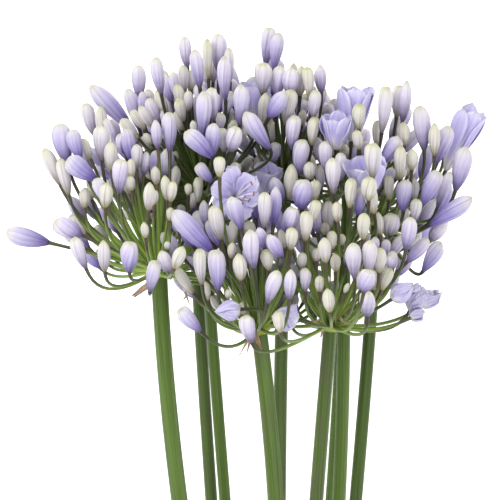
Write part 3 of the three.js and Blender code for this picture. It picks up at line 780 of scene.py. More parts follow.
class Tree:
    """A Geometry Nodes tree under construction."""

    def __init__(self, name, sockets):
        self.tree = bpy.data.node_groups.new(name, "GeometryNodeTree")
        make = self.tree.interface.new_socket
        make("Geometry", in_out="INPUT", socket_type="NodeSocketGeometry")
        for label, kind in sockets:
            make(label, in_out="INPUT", socket_type="NodeSocket" + kind)
        make("Geometry", in_out="OUTPUT", socket_type="NodeSocketGeometry")
        self.given = self.tree.nodes.new("NodeGroupInput")
        self.result = self.tree.nodes.new("NodeGroupOutput")

    def node(self, kind, settings=None, **inputs):
        made = self.tree.nodes.new(kind)
        for key, value in (settings or {}).items():
            setattr(made, key, value)
        for label, value in inputs.items():
            self.join(value, self.socket(made, label.replace("_", " ")))
        return made

    def socket(self, node, label):
        return next(s for s in node.inputs if s.name == label and s.enabled)

    def join(self, value, socket):
        if isinstance(value, bpy.types.Node):
            value = next(s for s in value.outputs if s.enabled)
        if isinstance(value, bpy.types.NodeSocket):
            self.tree.links.new(value, socket)
        else:
            socket.default_value = value

    def named(self, name, kind="FLOAT"):
        return self.node("GeometryNodeInputNamedAttribute", {"data_type": kind}, Name=name)

    def finish(self, geometry, material):
        real = self.node("GeometryNodeRealizeInstances", Geometry=geometry)
        smooth = self.node("GeometryNodeSetShadeSmooth", Geometry=real)
        dressed = self.node("GeometryNodeSetMaterial", Geometry=smooth, Material=material)
        self.join(dressed, self.result.inputs["Geometry"])
        return self.tree


def stalk_tree():
    """Gives polylines a round section, by their own thickness, with closed ends."""
    tree = Tree("Stalks", (("Sides", "Int"), ("Material", "Material")))
    lines = tree.node("GeometryNodeMeshToCurve", Mesh=tree.given.outputs["Geometry"])
    circle = tree.node("GeometryNodeCurvePrimitiveCircle",
                       Resolution=tree.given.outputs["Sides"], Radius=1.0)
    marked = tree.node("GeometryNodeStoreNamedAttribute", {"data_type": "FLOAT_VECTOR"},
                       Geometry=circle.outputs["Curve"], Name="ring",
                       Value=tree.node("GeometryNodeInputPosition"))
    skin = tree.node("GeometryNodeCurveToMesh", Curve=lines, Profile_Curve=marked,
                     Scale=tree.named("thickness").outputs["Attribute"], Fill_Caps=True)
    return tree.finish(skin, tree.given.outputs["Material"])


def planting_tree(kinds):
    """Plants one of several shapes on each point, by its direction, turn and size."""
    shapes = [(f"Shape {kind}", "Object") for kind in range(kinds)]
    tree = Tree("Planting", (*shapes, ("Material", "Material")))
    aligned = tree.node("FunctionNodeAlignRotationToVector", {"axis": "Z"},
                        Vector=tree.named("direction", "FLOAT_VECTOR").outputs["Attribute"])
    spin = tree.node("FunctionNodeAxisAngleToRotation",
                     Axis=(0, 0, 1), Angle=tree.named("turn").outputs["Attribute"])
    turned = tree.node("FunctionNodeRotateRotation", {"rotation_space": "LOCAL"},
                       Rotation=aligned, Rotate_By=spin)
    joined = tree.node("GeometryNodeJoinGeometry")
    for kind in range(kinds):
        chosen = tree.node("FunctionNodeCompare", {"data_type": "INT", "operation": "EQUAL"},
                           A=tree.named("kind", "INT").outputs["Attribute"], B=kind)
        shape = tree.node("GeometryNodeObjectInfo", Object=tree.given.outputs[f"Shape {kind}"])
        planted = tree.node("GeometryNodeInstanceOnPoints",
                            Points=tree.given.outputs["Geometry"], Selection=chosen,
                            Instance=shape.outputs["Geometry"], Rotation=turned,
                            Scale=tree.named("size", "FLOAT_VECTOR").outputs["Attribute"])
        tree.tree.links.new(planted.outputs[0], joined.inputs[0])
    return tree.finish(joined, tree.given.outputs["Material"])


# ---- Materials ----

MIX_FIRST, MIX_SECOND, MIX_RESULT = 6, 7, 2  # places of the Mix node's sockets for colours
SEED_SHIFT = 37.0  # sets the streaks of one piece apart from those of the next
GRAIN_DETAIL = 4.0
CUT_FADE = 0.5  # mm from the cut end to where a scape's skin has its own colour
FLOOR_GLOW = 0.8  # the table is lit a little from below, which softens the shadows on it
FLOOR_SPECK = 0.97  # brightness of its darker grain


class Paint:
    """A material's nodes under construction."""

    def __init__(self, name, roughness, **uniform):
        self.material = bpy.data.materials.new(name)
        self.material.use_nodes = True
        self.tree = self.material.node_tree
        self.shader = self.tree.nodes["Principled BSDF"]
        self.shader.inputs["Roughness"].default_value = roughness
        for label, value in uniform.items():
            self.shader.inputs[label.replace("_", " ")].default_value = value

    def node(self, kind, settings=None, inputs=None):
        made = self.tree.nodes.new("ShaderNode" + kind)
        for key, value in (settings or {}).items():
            setattr(made, key, value)
        for key, value in (inputs or {}).items():
            self.join(value, made.inputs[key])
        return made

    def join(self, value, socket):
        if isinstance(value, bpy.types.NodeSocket):
            self.tree.links.new(value, socket)
        elif socket.type == "RGBA" and len(value) == 3:
            socket.default_value = (*value, 1)
        else:
            socket.default_value = value

    def read(self, name, output="Fac"):
        return self.node("Attribute", {"attribute_name": name}).outputs[output]

    def maths(self, operation, *values):
        made = self.node("Math", {"operation": operation})
        for value, socket in zip(values, made.inputs):
            self.join(value, socket)
        return made.outputs[0]

    def times(self, first, second):
        return self.maths("MULTIPLY", first, second)

    def between(self, value, low, high, to_low=0.0, to_high=1.0):
        """value from low to high, eased to the second range and held there beyond it."""
        made = self.node("MapRange", {"interpolation_type": "SMOOTHSTEP"})
        for key, number in zip(("Value", "From Min", "From Max", "To Min", "To Max"),
                               (value, low, high, to_low, to_high)):
            self.join(number, made.inputs[key])
        return made.outputs[0]

    def blend(self, share, low, high, mode="MIX"):
        made = self.node("Mix", {"data_type": "RGBA", "blend_type": mode})
        self.join(share, made.inputs["Factor"])
        self.join(low, made.inputs[MIX_FIRST])
        self.join(high, made.inputs[MIX_SECOND])
        return made.outputs[MIX_RESULT]

    def ramp(self, value, stops):
        """Colours at places along value, eased from one to the next."""
        made = self.node("ValToRGB", inputs={"Fac": value})
        made.color_ramp.interpolation = "EASE"
        elements = made.color_ramp.elements
        while len(elements) < len(stops):
            elements.new(0.5)
        for element, (place, colour) in zip(elements, stops):
            element.position = place
            element.color = (*colour, 1)
        return made.outputs["Color"]

    def streaks(self, around, along, detail=3.0):
        """Noise that runs lengthwise: many across the section, few along it."""
        ring = self.node("VectorMath", {"operation": "SCALE"},
                         {0: self.read("ring", "Vector"), "Scale": around}).outputs[0]
        seed = self.times(self.read("seed"), SEED_SHIFT)
        lengthwise = self.maths("MULTIPLY_ADD", self.read("along"), along, seed)
        place = self.node("CombineXYZ", inputs={"Z": lengthwise}).outputs[0]
        moved = self.node("VectorMath", {"operation": "ADD"}, {0: ring, 1: place}).outputs[0]
        noise = self.node("TexNoise", inputs={"Vector": moved, "Scale": 1.0, "Detail": detail})
        return noise.outputs["Fac"]

    def grain(self, size):
        """Fine noise on object coordinates, with features of about size millimetres."""
        place = self.node("TexCoord").outputs["Object"]
        noise = self.node("TexNoise", inputs={
            "Vector": place, "Scale": 1 / (size * MM), "Detail": GRAIN_DETAIL})
        return noise.outputs["Fac"]

    def finish(self, colour, relief=None, height=0.1, roughness=None):
        """Joins the colour and, if there is one, a relief of a height in millimetres."""
        self.join(colour, self.shader.inputs["Base Color"])
        if roughness is not None:
            self.join(roughness, self.shader.inputs["Roughness"])
        if relief is not None:
            bump = self.node("Bump", inputs={"Height": relief, "Distance": height * MM})
            self.join(bump.outputs[0], self.shader.inputs["Normal"])
        return self.material


def bud_paint(colours):
    """Cream when young and violet at the foot when grown, with darker veins and pale rims, and painted
    shade where a petal tucks under the next.
    """
    paint = Paint("Bud petals", 0.6, Subsurface_Weight=0.15, Subsurface_Scale=1.2 * MM,
                  Subsurface_Radius=(1.0, 0.95, 1.0), Sheen_Weight=0.05, Sheen_Roughness=0.5,
                  Specular_IOR_Level=0.2)
    along = paint.read("along")
    edge = paint.read("edge")
    ripeness = paint.read("ripeness")
    cream, lilac, deep = tuple(colours.cream), tuple(colours.lilac), tuple(colours.violet)
    young = paint.ramp(along, (
        (0.0, shade(134, 124, 84)), (0.14, shade(180, 175, 144)), (0.4, shade(214, 211, 200)),
        (0.72, shade(216, 214, 198)), (0.88, cream), (1.0, shade(178, 182, 128)),
    ))
    grown = paint.ramp(along, (
        (0.0, shade(92, 86, 98)), (0.1, shade(116, 108, 132)), (0.28, shade(168, 160, 190)),
        (0.5, lilac), (0.7, shade(216, 210, 226)), (0.86, shade(220, 216, 218)),
        (1.0, shade(196, 196, 166)),
    ))
    ripe = paint.ramp(along, (
        (0.0, shade(70, 60, 92)), (0.13, deep), (0.42, shade(160, 151, 205)),
        (0.72, shade(188, 182, 216)), (0.9, shade(206, 202, 212)), (1.0, shade(198, 195, 178)),
    ))
    colour = paint.blend(paint.between(ripeness, 0.05, 0.45), young, grown)
    colour = paint.blend(paint.between(ripeness, 0.35, 1.0), colour, ripe)
    midrib = paint.between(edge, 0.16, 0.02)
    beside = paint.maths("ABSOLUTE", paint.maths("SUBTRACT", edge, 0.5))
    veins = paint.maths("MAXIMUM", midrib, paint.between(beside, 0.12, 0.02, 0.0, 0.6))
    fade = paint.between(along, 0.35, 0.95, 1.0, 0.15)
    uneven = paint.between(paint.streaks(2.6, 0.8, detail=2.0), 0.35, 0.65, 0.3, 1.0)
    depth = paint.times(paint.times(veins, fade), uneven)
    depth = paint.times(depth, paint.between(ripeness, 0.0, 0.9, 0.2, 0.5))
    colour = paint.blend(depth, colour, shade(136, 126, 172))
    bands = paint.between(paint.streaks(2.2, 0.5, detail=2.0), 0.44, 0.66)
    bands = paint.times(bands, paint.between(along, 0.1, 0.95, 0.8, 0.2))
    colour = paint.blend(bands, colour, shade(216, 211, 228), "MULTIPLY")
    lines = paint.between(paint.streaks(8.0, 1.2), 0.42, 0.66, 0.0, 0.32)
    lines = paint.times(lines, paint.between(along, 0.2, 0.95, 1.0, 0.35))
    colour = paint.blend(lines, colour, shade(186, 176, 214), "MULTIPLY")
    rim = paint.times(paint.read("rim"), paint.between(along, 0.25, 0.75, 0.05, 0.4))
    rim = paint.times(rim, paint.between(ripeness, 0.4, 1.0, 1.0, 0.6))
    colour = paint.blend(rim, colour, shade(222, 219, 212))
    # Painted shade: a thin darker line along the seam, where a petal's margin is tucked under its
    # neighbour.
    tuck = paint.times(paint.read("tuck"), paint.between(along, 0.0, 0.9, 0.45, 0.15))
    colour = paint.blend(tuck, colour, shade(166, 160, 176), "MULTIPLY")
    fine = paint.streaks(30.0, 2.0, detail=2.0)
    return paint.finish(colour, fine, 0.15)


def petal_paint(colours):
    """Open petals: lavender with a darker midvein, fine lengthwise veins and pale wavy margins."""
    paint = Paint("Open petals", 0.55, Subsurface_Weight=0.3, Subsurface_Scale=1.5 * MM,
                  Subsurface_Radius=(1.0, 0.9, 1.0), Sheen_Weight=0.1, Sheen_Roughness=0.4,
                  Specular_IOR_Level=0.25)
    along = paint.read("along")
    edge = paint.read("edge")
    deep = tuple(colours.violet)
    body = paint.ramp(along, (
        (0.0, shade(190, 188, 160)), (0.16, shade(210, 204, 204)), (0.34, shade(186, 178, 222)),
        (0.55, shade(178, 170, 224)), (0.8, shade(192, 186, 230)), (1.0, shade(212, 208, 234)),
    ))
    colour = paint.blend(paint.between(edge, 0.6, 1.0, 0.0, 0.4), body, shade(230, 227, 248))
    middle = paint.between(edge, 0.16, 0.02)
    middle = paint.times(middle, paint.between(along, 0.5, 1.0, 0.45, 0.05))
    colour = paint.blend(middle, colour, deep)
    throat = paint.times(paint.between(edge, 0.45, 0.1),
                         paint.between(along, 0.75, 0.35, 0.0, 0.85))
    colour = paint.blend(throat, colour, shade(232, 229, 236))
    veins = paint.node("TexWave", {"wave_type": "BANDS", "bands_direction": "X"}, {
        "Vector": paint.node("CombineXYZ", inputs={
            "X": paint.read("across"), "Y": paint.times(along, 0.15)}).outputs[0],
        "Scale": 2.2, "Distortion": 2.0, "Detail": 2.0})
    colour = paint.blend(paint.between(veins.outputs["Fac"], 0.6, 1.0, 0.0, 0.16), colour, deep)
    pale = paint.times(paint.read("faded"), paint.between(along, 0.1, 0.8, 0.2, 0.9))
    colour = paint.blend(pale, colour, shade(208, 202, 230))
    return paint.finish(colour, veins.outputs["Fac"])


def scape_paint(colours):
    """Waxy green with soft lengthwise bands of grey and yellow green, and a purplish flush."""
    paint = Paint("Scape skin", 0.5, Specular_IOR_Level=0.3, Sheen_Weight=0.05,
                  Sheen_Roughness=0.5)
    base = tuple(colours.stem)
    bands = paint.streaks(1.6, 0.5, detail=2.0)
    fine = paint.streaks(7.0, 1.5)
    patches = paint.streaks(1.2, 5.0)
    colour = paint.blend(paint.between(bands, 0.4, 0.62), base, shade(90, 115, 52))
    colour = paint.blend(paint.between(fine, 0.5, 0.75, 0.0, 0.5), colour, shade(104, 132, 46))
    colour = paint.blend(paint.between(fine, 0.5, 0.3, 0.0, 0.7), colour, shade(52, 74, 22))
    flush = paint.times(paint.between(patches, 0.35, 0.7), paint.read("flush"))
    colour = paint.blend(flush, colour, shade(90, 92, 66))
    colour = paint.blend(paint.read("tone"), colour, shade(146, 160, 120), "MULTIPLY")
    place = paint.node("SeparateXYZ", inputs={
        "Vector": paint.node("TexCoord").outputs["Object"]}).outputs["Y"]
    cut_end = CAD_BOX[0].y
    cut = paint.between(place, cut_end + CUT_FADE * MM, cut_end + CUT_FACE * MM)
    colour = paint.blend(cut, colour, shade(178, 188, 132))
    return paint.finish(colour, fine, 0.2, paint.between(patches, 0.3, 0.7, 0.42, 0.55))


def pedicel_paint(colours):
    """Bright green at the root, dark olive and purple brown just under the bud."""
    paint = Paint("Pedicel skin", 0.45, Specular_IOR_Level=0.4, Sheen_Weight=0.05)
    along = paint.read("along")
    green, dark = tuple(colours.pedicel), tuple(colours.pedicel_dark)
    fresh = paint.ramp(along, (
        (0.0, shade(164, 184, 72)), (0.35, green), (0.75, shade(94, 114, 44)),
        (0.88, dark), (1.0, shade(78, 58, 48)),
    ))
    ripe = paint.ramp(along, (
        (0.0, shade(140, 162, 56)), (0.3, shade(92, 118, 42)), (0.6, shade(66, 78, 38)),
        (0.85, shade(48, 48, 34)), (1.0, shade(54, 42, 46)),
    ))
    colour = paint.blend(paint.between(paint.read("age"), 0.3, 0.8), fresh, ripe)
    lines = paint.streaks(2.5, 3.0)
    light = paint.times(paint.between(lines, 0.45, 0.65, 0.0, 0.6),
                        paint.between(along, 0.3, 1.0, 1.0, 0.3))
    colour = paint.blend(light, colour, shade(172, 190, 98))
    # Painted shade on the pedicels: whole heads that lie deep in the bunch are darkened.
    colour = paint.blend(paint.read("tone"), colour, shade(142, 144, 128), "MULTIPLY")
    return paint.finish(colour, lines)


def stamen_paint(colours):
    """Pale lilac filaments and brown anthers dusted with pollen."""
    paint = Paint("Stamens", 0.6, Sheen_Weight=0.1)
    dust = paint.grain(0.4)
    anther = paint.blend(paint.between(dust, 0.4, 0.6), tuple(colours.anther),
                         shade(176, 138, 84))
    thread = paint.ramp(paint.read("along"), (
        (0.0, shade(230, 228, 222)), (0.8, shade(232, 226, 244)), (1.0, shade(226, 214, 222)),
    ))
    colour = paint.blend(paint.read("pollen"), thread, anther)
    return paint.finish(colour, dust)


def bract_paint(colours):
    """Dry and papery: beige and pinkish brown with darker fibres."""
    paint = Paint("Dry bract", 0.7, Subsurface_Weight=0.1, Subsurface_Scale=MM)
    fibres = paint.node("TexNoise", inputs={
        "Vector": paint.node("CombineXYZ", inputs={
            "X": paint.times(paint.read("across"), 6.0),
            "Y": paint.read("along"), "Z": paint.read("seed")}).outputs[0],
        "Scale": 2.0, "Detail": 4.0}).outputs["Fac"]
    colour = paint.blend(paint.between(fibres, 0.35, 0.65), tuple(colours.bract),
                         shade(142, 104, 92))
    return paint.finish(colour, fibres, 0.2)


def floor_paint(colours):
    """Pale and plain, with hardly any grain."""
    paint = Paint("Plain table", 0.6, Specular_IOR_Level=0.2)
    speck = paint.grain(20)
    tint = tuple(colours.floor)
    colour = paint.blend(paint.between(speck, 0.3, 0.7), tint, tuple(FLOOR_SPECK * c for c in tint))
    paint.shader.inputs["Emission Color"].default_value = (1, 1, 1, 1)
    paint.shader.inputs["Emission Strength"].default_value = FLOOR_GLOW
    return paint.finish(colour)


# ---- Scapes, receptacles and pedicels ----

SCAPE_DETAIL = 56  # stations along a scape
SCAPE_REPEATS = 6  # of the streaks along it
SCAPE_FLUSH = {2: 0.5, 4: 0.4, 5: 0.6, 6: 0.8}  # purplish ones
SCAPE_TONE = {1: 0.0, 2: 0.4, 3: 0.1, 4: 0.15, 5: 0.3, 6: 0.25, 7: 0.05, 8: 0.1, 9: 0.5}
# Painted shade: how much darker each head's pedicels are made, most on the heads of the lower row,
# deep in the bunch.
PEDICEL_SHADE = {1: 0.0, 2: 0.8, 3: 0.9, 4: 0.4, 5: 0.8, 6: 0.2, 7: 0.8, 8: 0.6, 9: 0.4}
PEDICEL_DETAIL = 12
# How far a pedicel may hook where its bud leans back over the hub, as a share of their distance.
HOOK_SHARE = 0.17
# How far under its hub or its bud a pedicel may be pulled: least, and for each mm that the bud
# stands beside its hub.
HANG = (4, 0.45)
JOINT_REACH = 0.06  # share of its length over which a pedicel swells under its bud
ROOT_TAPER = 2.2  # how soon it is slim: 2 is halfway
SMALL_BUD_PLUMPNESS = 0.78  # a pedicel's radius under the smallest bud, against a large one
LARGE_BUD_RADIUS = 5
SEED_STEP = 0.6180339
# The receptacle from its base to its top: height over the hub, and radius against the scape's.
RECEPTACLE_PROFILE = (
    (-RECEPTACLE_BASE - 0.2, 0.93), (-3.6, 1.0), (-2.6, 1.3), (-1.6, 1.42), (-0.5, 1.45),
    (1.0, 1.4), (2.4, 1.28), (3.6, 1.0), (4.5, 0.6), (RECEPTACLE_TOP, 0.15),
)


def polylines(name, lines, extra):
    """One object of open polylines. Each line is points and a dict of values at each of them."""
    points, edges = [], []
    values = {key: [] for key in extra}
    for line, given in lines:
        first = len(points)
        points.extend(in_frame(line))
        edges.extend((first + i, first + i + 1) for i in range(len(line) - 1))
        for key in extra:
            values[key].extend(np.broadcast_to(given[key], len(line)))
    thing = new_object(name, points, edges)
    for key in extra:
        add_attribute(thing, key, values[key])
    return thing


def scape_line(stem):
    """A scape's middle line in finer steps, never lower than its round section may lie."""
    line = np.array(lay_scape(stem, SCAPE_DETAIL))
    share = np.array([0] + [i / SCAPE_DETAIL for i in range(SCAPE_DETAIL + 1)])
    radii = stem.radius * (1 + (SCAPE_TAPER - 1) * share)
    line[:, 2] = np.maximum(line[:, 2], radii)
    return line, {
        "along": np.linspace(0, 1, len(line)) * SCAPE_REPEATS,
        "thickness": radii * MM, "seed": stem.number,
        "flush": SCAPE_FLUSH.get(stem.number, 0.0), "tone": SCAPE_TONE[stem.number],
    }


def receptacle_line(stem):
    """The dome on the scape's top, with a slight collar where the bract fell off."""
    line = [stem.hub + stem.axis * height for height, _ in RECEPTACLE_PROFILE]
    return line, {
        "along": 0.0,
        "thickness": [stem.radius * width * MM for _, width in RECEPTACLE_PROFILE],
        "seed": 0.5, "age": 0.2, "tone": PEDICEL_SHADE[stem.number],
    }


def drawn_control(stem, sprig):
    """The control of a pedicel as it is drawn, which hangs and hooks less than the grown one."""
    if sprig.habit != "bud":
        return sprig.control
    hook = sprig.foot - sprig.control
    share = 1
    fall = sprig.foot[1] - min(stem.hub[1], sprig.foot[1])
    fall += HANG[0] + HANG[1] * abs(sprig.foot[0] - stem.hub[0])
    if hook[1] > fall:
        share = fall / hook[1]
    if (sprig.foot - stem.hub)[:2] @ hook[:2] < 0:
        longest = HOOK_SHARE * np.linalg.norm(sprig.foot - stem.hub)
        share = min(share, longest / np.linalg.norm(hook))
    return sprig.foot - hook * share


def pedicel_line(stem, sprig, sizes):
    """A pedicel: thicker at its root, slim on its way and swollen just under the bud."""
    share = np.linspace(0, 1, PEDICEL_DETAIL)
    swell = np.exp(-((1 - share) / JOINT_REACH) ** 2)
    plump = mix(SMALL_BUD_PLUMPNESS, 1.0, min(1, sprig.radius / LARGE_BUD_RADIUS))
    root, slim, joint = sizes.pedicel_root, sizes.pedicel_slim, sizes.pedicel_joint
    plain = mix(root, slim, np.clip(share * ROOT_TAPER, 0, 1))
    radius = plain * plump + (joint - slim) * swell * plump
    drawn = replace(sprig, control=drawn_control(stem, sprig))
    line = [curve_point(drawn, t) for t in share]
    return line, {
        "along": share, "thickness": radius, "seed": (sprig.seed * SEED_STEP) % 1,
        "age": bud_age(sprig), "tone": PEDICEL_SHADE[stem.number],
    }


# ---- Buds ----

# One third of a bud's section, in degrees from the middle of a petal: at each place, the height
# there over the section as a share of the seam's depth, how pale its rim is, and how much painted
# shade it has where it is tucked under its neighbour. The last place is the free margin, and the
# first is the tucked one.
THIRD = (
    (-60, -1.0, 0.0, 1.0), (-54, -0.75, 0.0, 0.4), (-40, -0.3, 0.0, 0.0), (-20, -0.05, 0.0, 0.0),
    (0, 0.0, 0.0, 0.0), (20, -0.1, 0.0, 0.0), (40, -0.1, 0.1, 0.0), (53, 0.1, 0.7, 0.0),
    (58.5, 0.0, 1.0, 0.1),
)
BUD_STATIONS = (0, .05, .12, .22, .35, .48, .6, .71, .8, .87, .92, .955, .975, .99)
# For each kind of bud: its radius at each station, as a share of the largest; depth of its seams;
# how far its three tips stand apart; its twist in radians; and how far its middle bows sideways.
BUD_SHAPES = {
    "young": ((.3, .42, .6, .78, .91, .98, 1, .97, .9, .78, .64, .48, .36, .22),
              .1, .3, 0.1, .04),
    "pointed": ((.26, .38, .56, .75, .9, .99, 1, .93, .8, .64, .48, .34, .25, .15),
                .12, .25, .25, .06),
    "grown": ((.26, .36, .5, .68, .84, .95, 1, .99, .93, .83, .69, .52, .39, .25),
              .12, .35, .25, .07),
    "square": ((.24, .34, .47, .64, .8, .92, .98, 1, .98, .92, .82, .67, .54, .36),
               .14, .5, .35, .1),
    "ripe": ((.22, .31, .44, .61, .79, .92, 1, .99, .92, .8, .64, .47, .35, .22),
             .15, .4, .5, .1),
    "puffed": ((.22, .36, .55, .77, .92, .99, 1, .97, .92, .86, .77, .62, .48, .3),
               .22, .6, .8, .05),
}
BUD_KINDS = {"small": (0, 1), "middling": (2, 3, 1), "large": (4, 3, 2), "opening": (5,)}
BUD_SWELLING = 1.14  # of the petals over the plain section that a bud's room is reckoned with
BUD_STRETCH = 1.04  # and of its length
RIPENESS_SPREAD = 0.8  # how much the ripeness differs between buds of one size
RIPENESS_LAG = 0.15  # how much later than its size a bud turns violet
HIDDEN_RIPENESS = 0.25  # how much riper the buds are that only show between the others
FLATTEST_BUD = 0.9  # a bud's thickness, as a share of its width
PUFFED_SLENDERNESS = 1.72  # a bud that is shorter than this, for its width, has begun to open
PUFFED_AGE = 0.3  # if it is older than this
KIND_AGES = (0.2, 0.75)  # where small buds end and where large ones start
BUD_YOUTH = 30  # a bud's length times its radius, in square mm, where it starts to grow up
BUD_GROWTH = 120  # and how much more it is in a grown one
SEAMS_FROM = 0.2  # share of a bud's length where its seams have their full depth
TIPS_APART = (0.76, 0.24, 1.5)  # where its tips part, over what length, and how late
BUD_SEEDS = 1000  # for the looks of one head's buds


def bud_age(sprig):
    """0 in the smallest cream buds and 1 in the large violet ones."""
    return min(1, max(0, (sprig.length * sprig.radius - BUD_YOUTH) / BUD_GROWTH))


def bud_shape(name):
    """A bud of unit length and radius, with three petals that each lap over the next."""
    widths, seam, parting, twist, bow = BUD_SHAPES[name]
    vertices, ring = [], []
    values = {key: [] for key in ("along", "edge", "rim", "tuck")}
    apart_from, apart_run, apart_power = TIPS_APART
    for t, width in zip(BUD_STATIONS, widths):
        shown = min(1, t / SEAMS_FROM)
        apart = parting * max(0, (t - apart_from) / apart_run) ** apart_power
        for third in range(3):
            for degrees, height, rim, tuck in THIRD:
                angle = math.radians(120 * third + degrees)
                lobe = math.cos(3 * angle)
                radius = width * (1 + shown * seam * height + apart * (lobe - 1) / 2)
                turned = angle + twist * t * t
                vertices.append((radius * math.cos(turned) + bow * math.sin(math.pi * t),
                                 radius * math.sin(turned), t))
                for key, value in zip(values, (t, abs(degrees) / 60, rim, tuck)):
                    values[key].append(value)
                ring.append((math.cos(angle), math.sin(angle), 0))
    sides, rings = 3 * len(THIRD), len(BUD_STATIONS)
    faces = [tuple(reversed(range(sides)))]
    for r in range(rings - 1):
        for i in range(sides):
            a, b = r * sides + i, r * sides + (i + 1) % sides
            faces.append((a, b, b + sides, a + sides))
    tip = len(vertices)
    vertices.append((0, 0, 1))
    for key, value in zip(values, (1.0, 0.5, 0.3, 0.3)):
        values[key].append(value)
    ring.append((0, 0, 0))
    last = (rings - 1) * sides
    faces.extend((last + i, last + (i + 1) % sides, tip) for i in range(sides))
    widest = max(math.hypot(x, y) for x, y, _ in vertices)
    vertices = [(x / widest, y / widest, z) for x, y, z in vertices]
    thing = new_object("shape_" + name, vertices, (), faces)
    for key in values:
        add_attribute(thing, key, values[key])
    add_attribute(thing, "ring", ring, "FLOAT_VECTOR")
    return thing


def bud_kind(sprig, draw):
    """Which of BUD_SHAPES a bud has, by its size and one draw."""
    age = bud_age(sprig)
    if sprig.length < PUFFED_SLENDERNESS * 2 * sprig.radius and age > PUFFED_AGE:
        size = "opening"
    elif age < KIND_AGES[0]:
        size = "small"
    elif age < KIND_AGES[1]:
        size = "middling"
    else:
        size = "large"
    kinds = BUD_KINDS[size]
    return kinds[int(draw * len(kinds))]


def bud_row(stem, number, sprig):
    """Where and how a bud is planted on its point."""
    draw = seeded_draw(BUD_SEEDS * stem.number + number)
    ripeness = sprig.ripeness
    if ripeness is None:
        ripeness = bud_age(sprig) + RIPENESS_SPREAD * (draw() - 0.5) - RIPENESS_LAG
        ripeness += HIDDEN_RIPENESS if sprig.seed >= BACK_BUD_SEED else 0
    lowest = sprig.foot[2] + min(0, sprig.axis[2]) * sprig.length
    width = min(BUD_SWELLING * sprig.radius, lowest)
    flat = mix(FLATTEST_BUD, 1, draw())
    return dict(
        place=sprig.foot, direction=sprig.axis,
        size=(width, width * flat, sprig.length * BUD_STRETCH),
        turn=2 * math.pi * draw(), kind=bud_kind(sprig, draw()),
        ripeness=min(1, max(0, ripeness)), seed=draw())


def plant(name, rows, tree, shapes, material):
    """One object of shapes on points, with each point's values in rows."""
    thing = new_object(name, [in_frame(row["place"]) for row in rows])
    add_attribute(thing, "direction", [row["direction"] for row in rows], "FLOAT_VECTOR")
    add_attribute(thing, "size", [np.array(row["size"]) * MM for row in rows], "FLOAT_VECTOR")
    for key in ("turn", "ripeness", "seed"):
        add_attribute(thing, key, [row[key] for row in rows])
    kind = thing.data.attributes.new("kind", "INT", "POINT")
    kind.data.foreach_set("value", [row["kind"] for row in rows])
    chosen = {f"Shape {i}": shape for i, shape in enumerate(shapes)}
    return settle(thing, tree, Material=material, **chosen)


# ---- Open flowers ----

PETALS = 6
PETAL_STATIONS = 20
PETAL_COLUMNS = 13
PETAL_SKIN = 0.35
TUBE_RADIUS = 1.5
PETAL_LENGTHS = (1, 0.97)  # of the outer and of the inner petals
PETAL_GRIPS = (0.95, 1.1)  # likewise
INNER_SETBACK = 0.4  # mm that the inner petals lie further in
LENGTH_DISORDER = (0.4, 0.8)  # how unlike in length, and the draw that gives the full length
TURN_DISORDER = 0.5  # radians
SLOPE_STEP = 0.01  # along a petal, either way, to find its slope
NARROWEST_HALF = 0.3
TIGHTEST_BEND = 1.2  # radius
FURTHEST_WRAP = 1.2  # radians to each side
MARGIN_RAGS = (19, 6, 43, 9)  # two waves along the margin: radians along it, and by a draw
MARGIN_RIPPLE = (10, 1.6, 1.5)  # radians along a petal and across it, and how much at the margin
KEEL = (0.03, 0.2)  # depth, in shares of the mouth's radius, and width
CREASES = (8, 5)  # radians across a petal and along it
CIRCLE = 6.28  # radians, by which a draw may shift a wave
PETAL_SEED = 7
LENGTH_SEEDS = 1000  # for each mm of a flower's length
# How each habit opens. spine: where a petal's middle line is pulled to on its way to the mouth, in
# shares of the mouth's radius and of the flower's length, and where it ends. grip: half the angle
# that a petal holds of the tube. parting: where along them the petals part. flare: how much wider a
# petal is beyond that. blunt: how square its end is. wave: its margin's ripple, in shares of the
# mouth's radius. ragged: how uneven its margin is. crease: depth of its lengthwise folds, likewise.
# flat: how much flatter its free part is than the tube. disorder: how unlike the petals are. twist:
# in radians. faded: how far it has lost its blue. fall: where its lower side is. reach and sag: of
# its stamens, in shares of the flower's length and of the mouth's radius.
HABITS = {
    "open": dict(spine=((.14, .5), (.34, .98), (1.18, .86)), grip=.78, parting=.34, flare=3.0,
                 blunt=5.0, wave=.15, ragged=.09, crease=.03, flat=5.0, disorder=.28, twist=.12,
                 faded=0, fall=(1, -.4, .15), reach=1.3, sag=.68),
    "trumpet": dict(spine=((.6, .2), (.86, .62), (.9, 1.02)), grip=.95, parting=.5, flare=.4,
                    blunt=2.8, wave=.07, ragged=.03, crease=.03, flat=1.4, disorder=.34,
                    twist=.12, faded=0, fall=(.35, -1, .15), reach=.8, sag=.3),
    "nodding": dict(spine=((.95, .12), (1.25, .55), (.04, 1.04)), grip=.8, parting=.6, flare=.1,
                    blunt=1.8, wave=.1, ragged=.06, crease=.07, flat=1.2, disorder=.3, twist=.3,
                    faded=.3, fall=(.35, -1, .15), reach=.8, sag=.3),
    "crumpled": dict(spine=((1.0, .1), (1.3, .65), (.35, 1.0)), grip=.7, parting=.45, flare=.3,
                     blunt=2.4, wave=.26, ragged=.12, crease=.14, flat=1.3, disorder=.7,
                     twist=.8, faded=.55, fall=(.35, -1, .15), reach=.8, sag=.3),
}


def flower_frame(sprig):
    """Two directions square to the flower's axis, the first towards its lower side."""
    fall = point(*HABITS[sprig.habit]["fall"])
    down = unit(fall - sprig.axis * (fall @ sprig.axis))
    return down, np.cross(sprig.axis, down)


def petal_edge(habit, s, free, side, draws):
    """A petal's half width there, against an even margin."""
    coarse = math.sin(MARGIN_RAGS[0] * s + MARGIN_RAGS[1] * draws[3] * side)
    fine = math.sin(MARGIN_RAGS[2] * s + MARGIN_RAGS[3] * draws[2] * side)
    return 1 + habit["ragged"] * free * (coarse + fine)


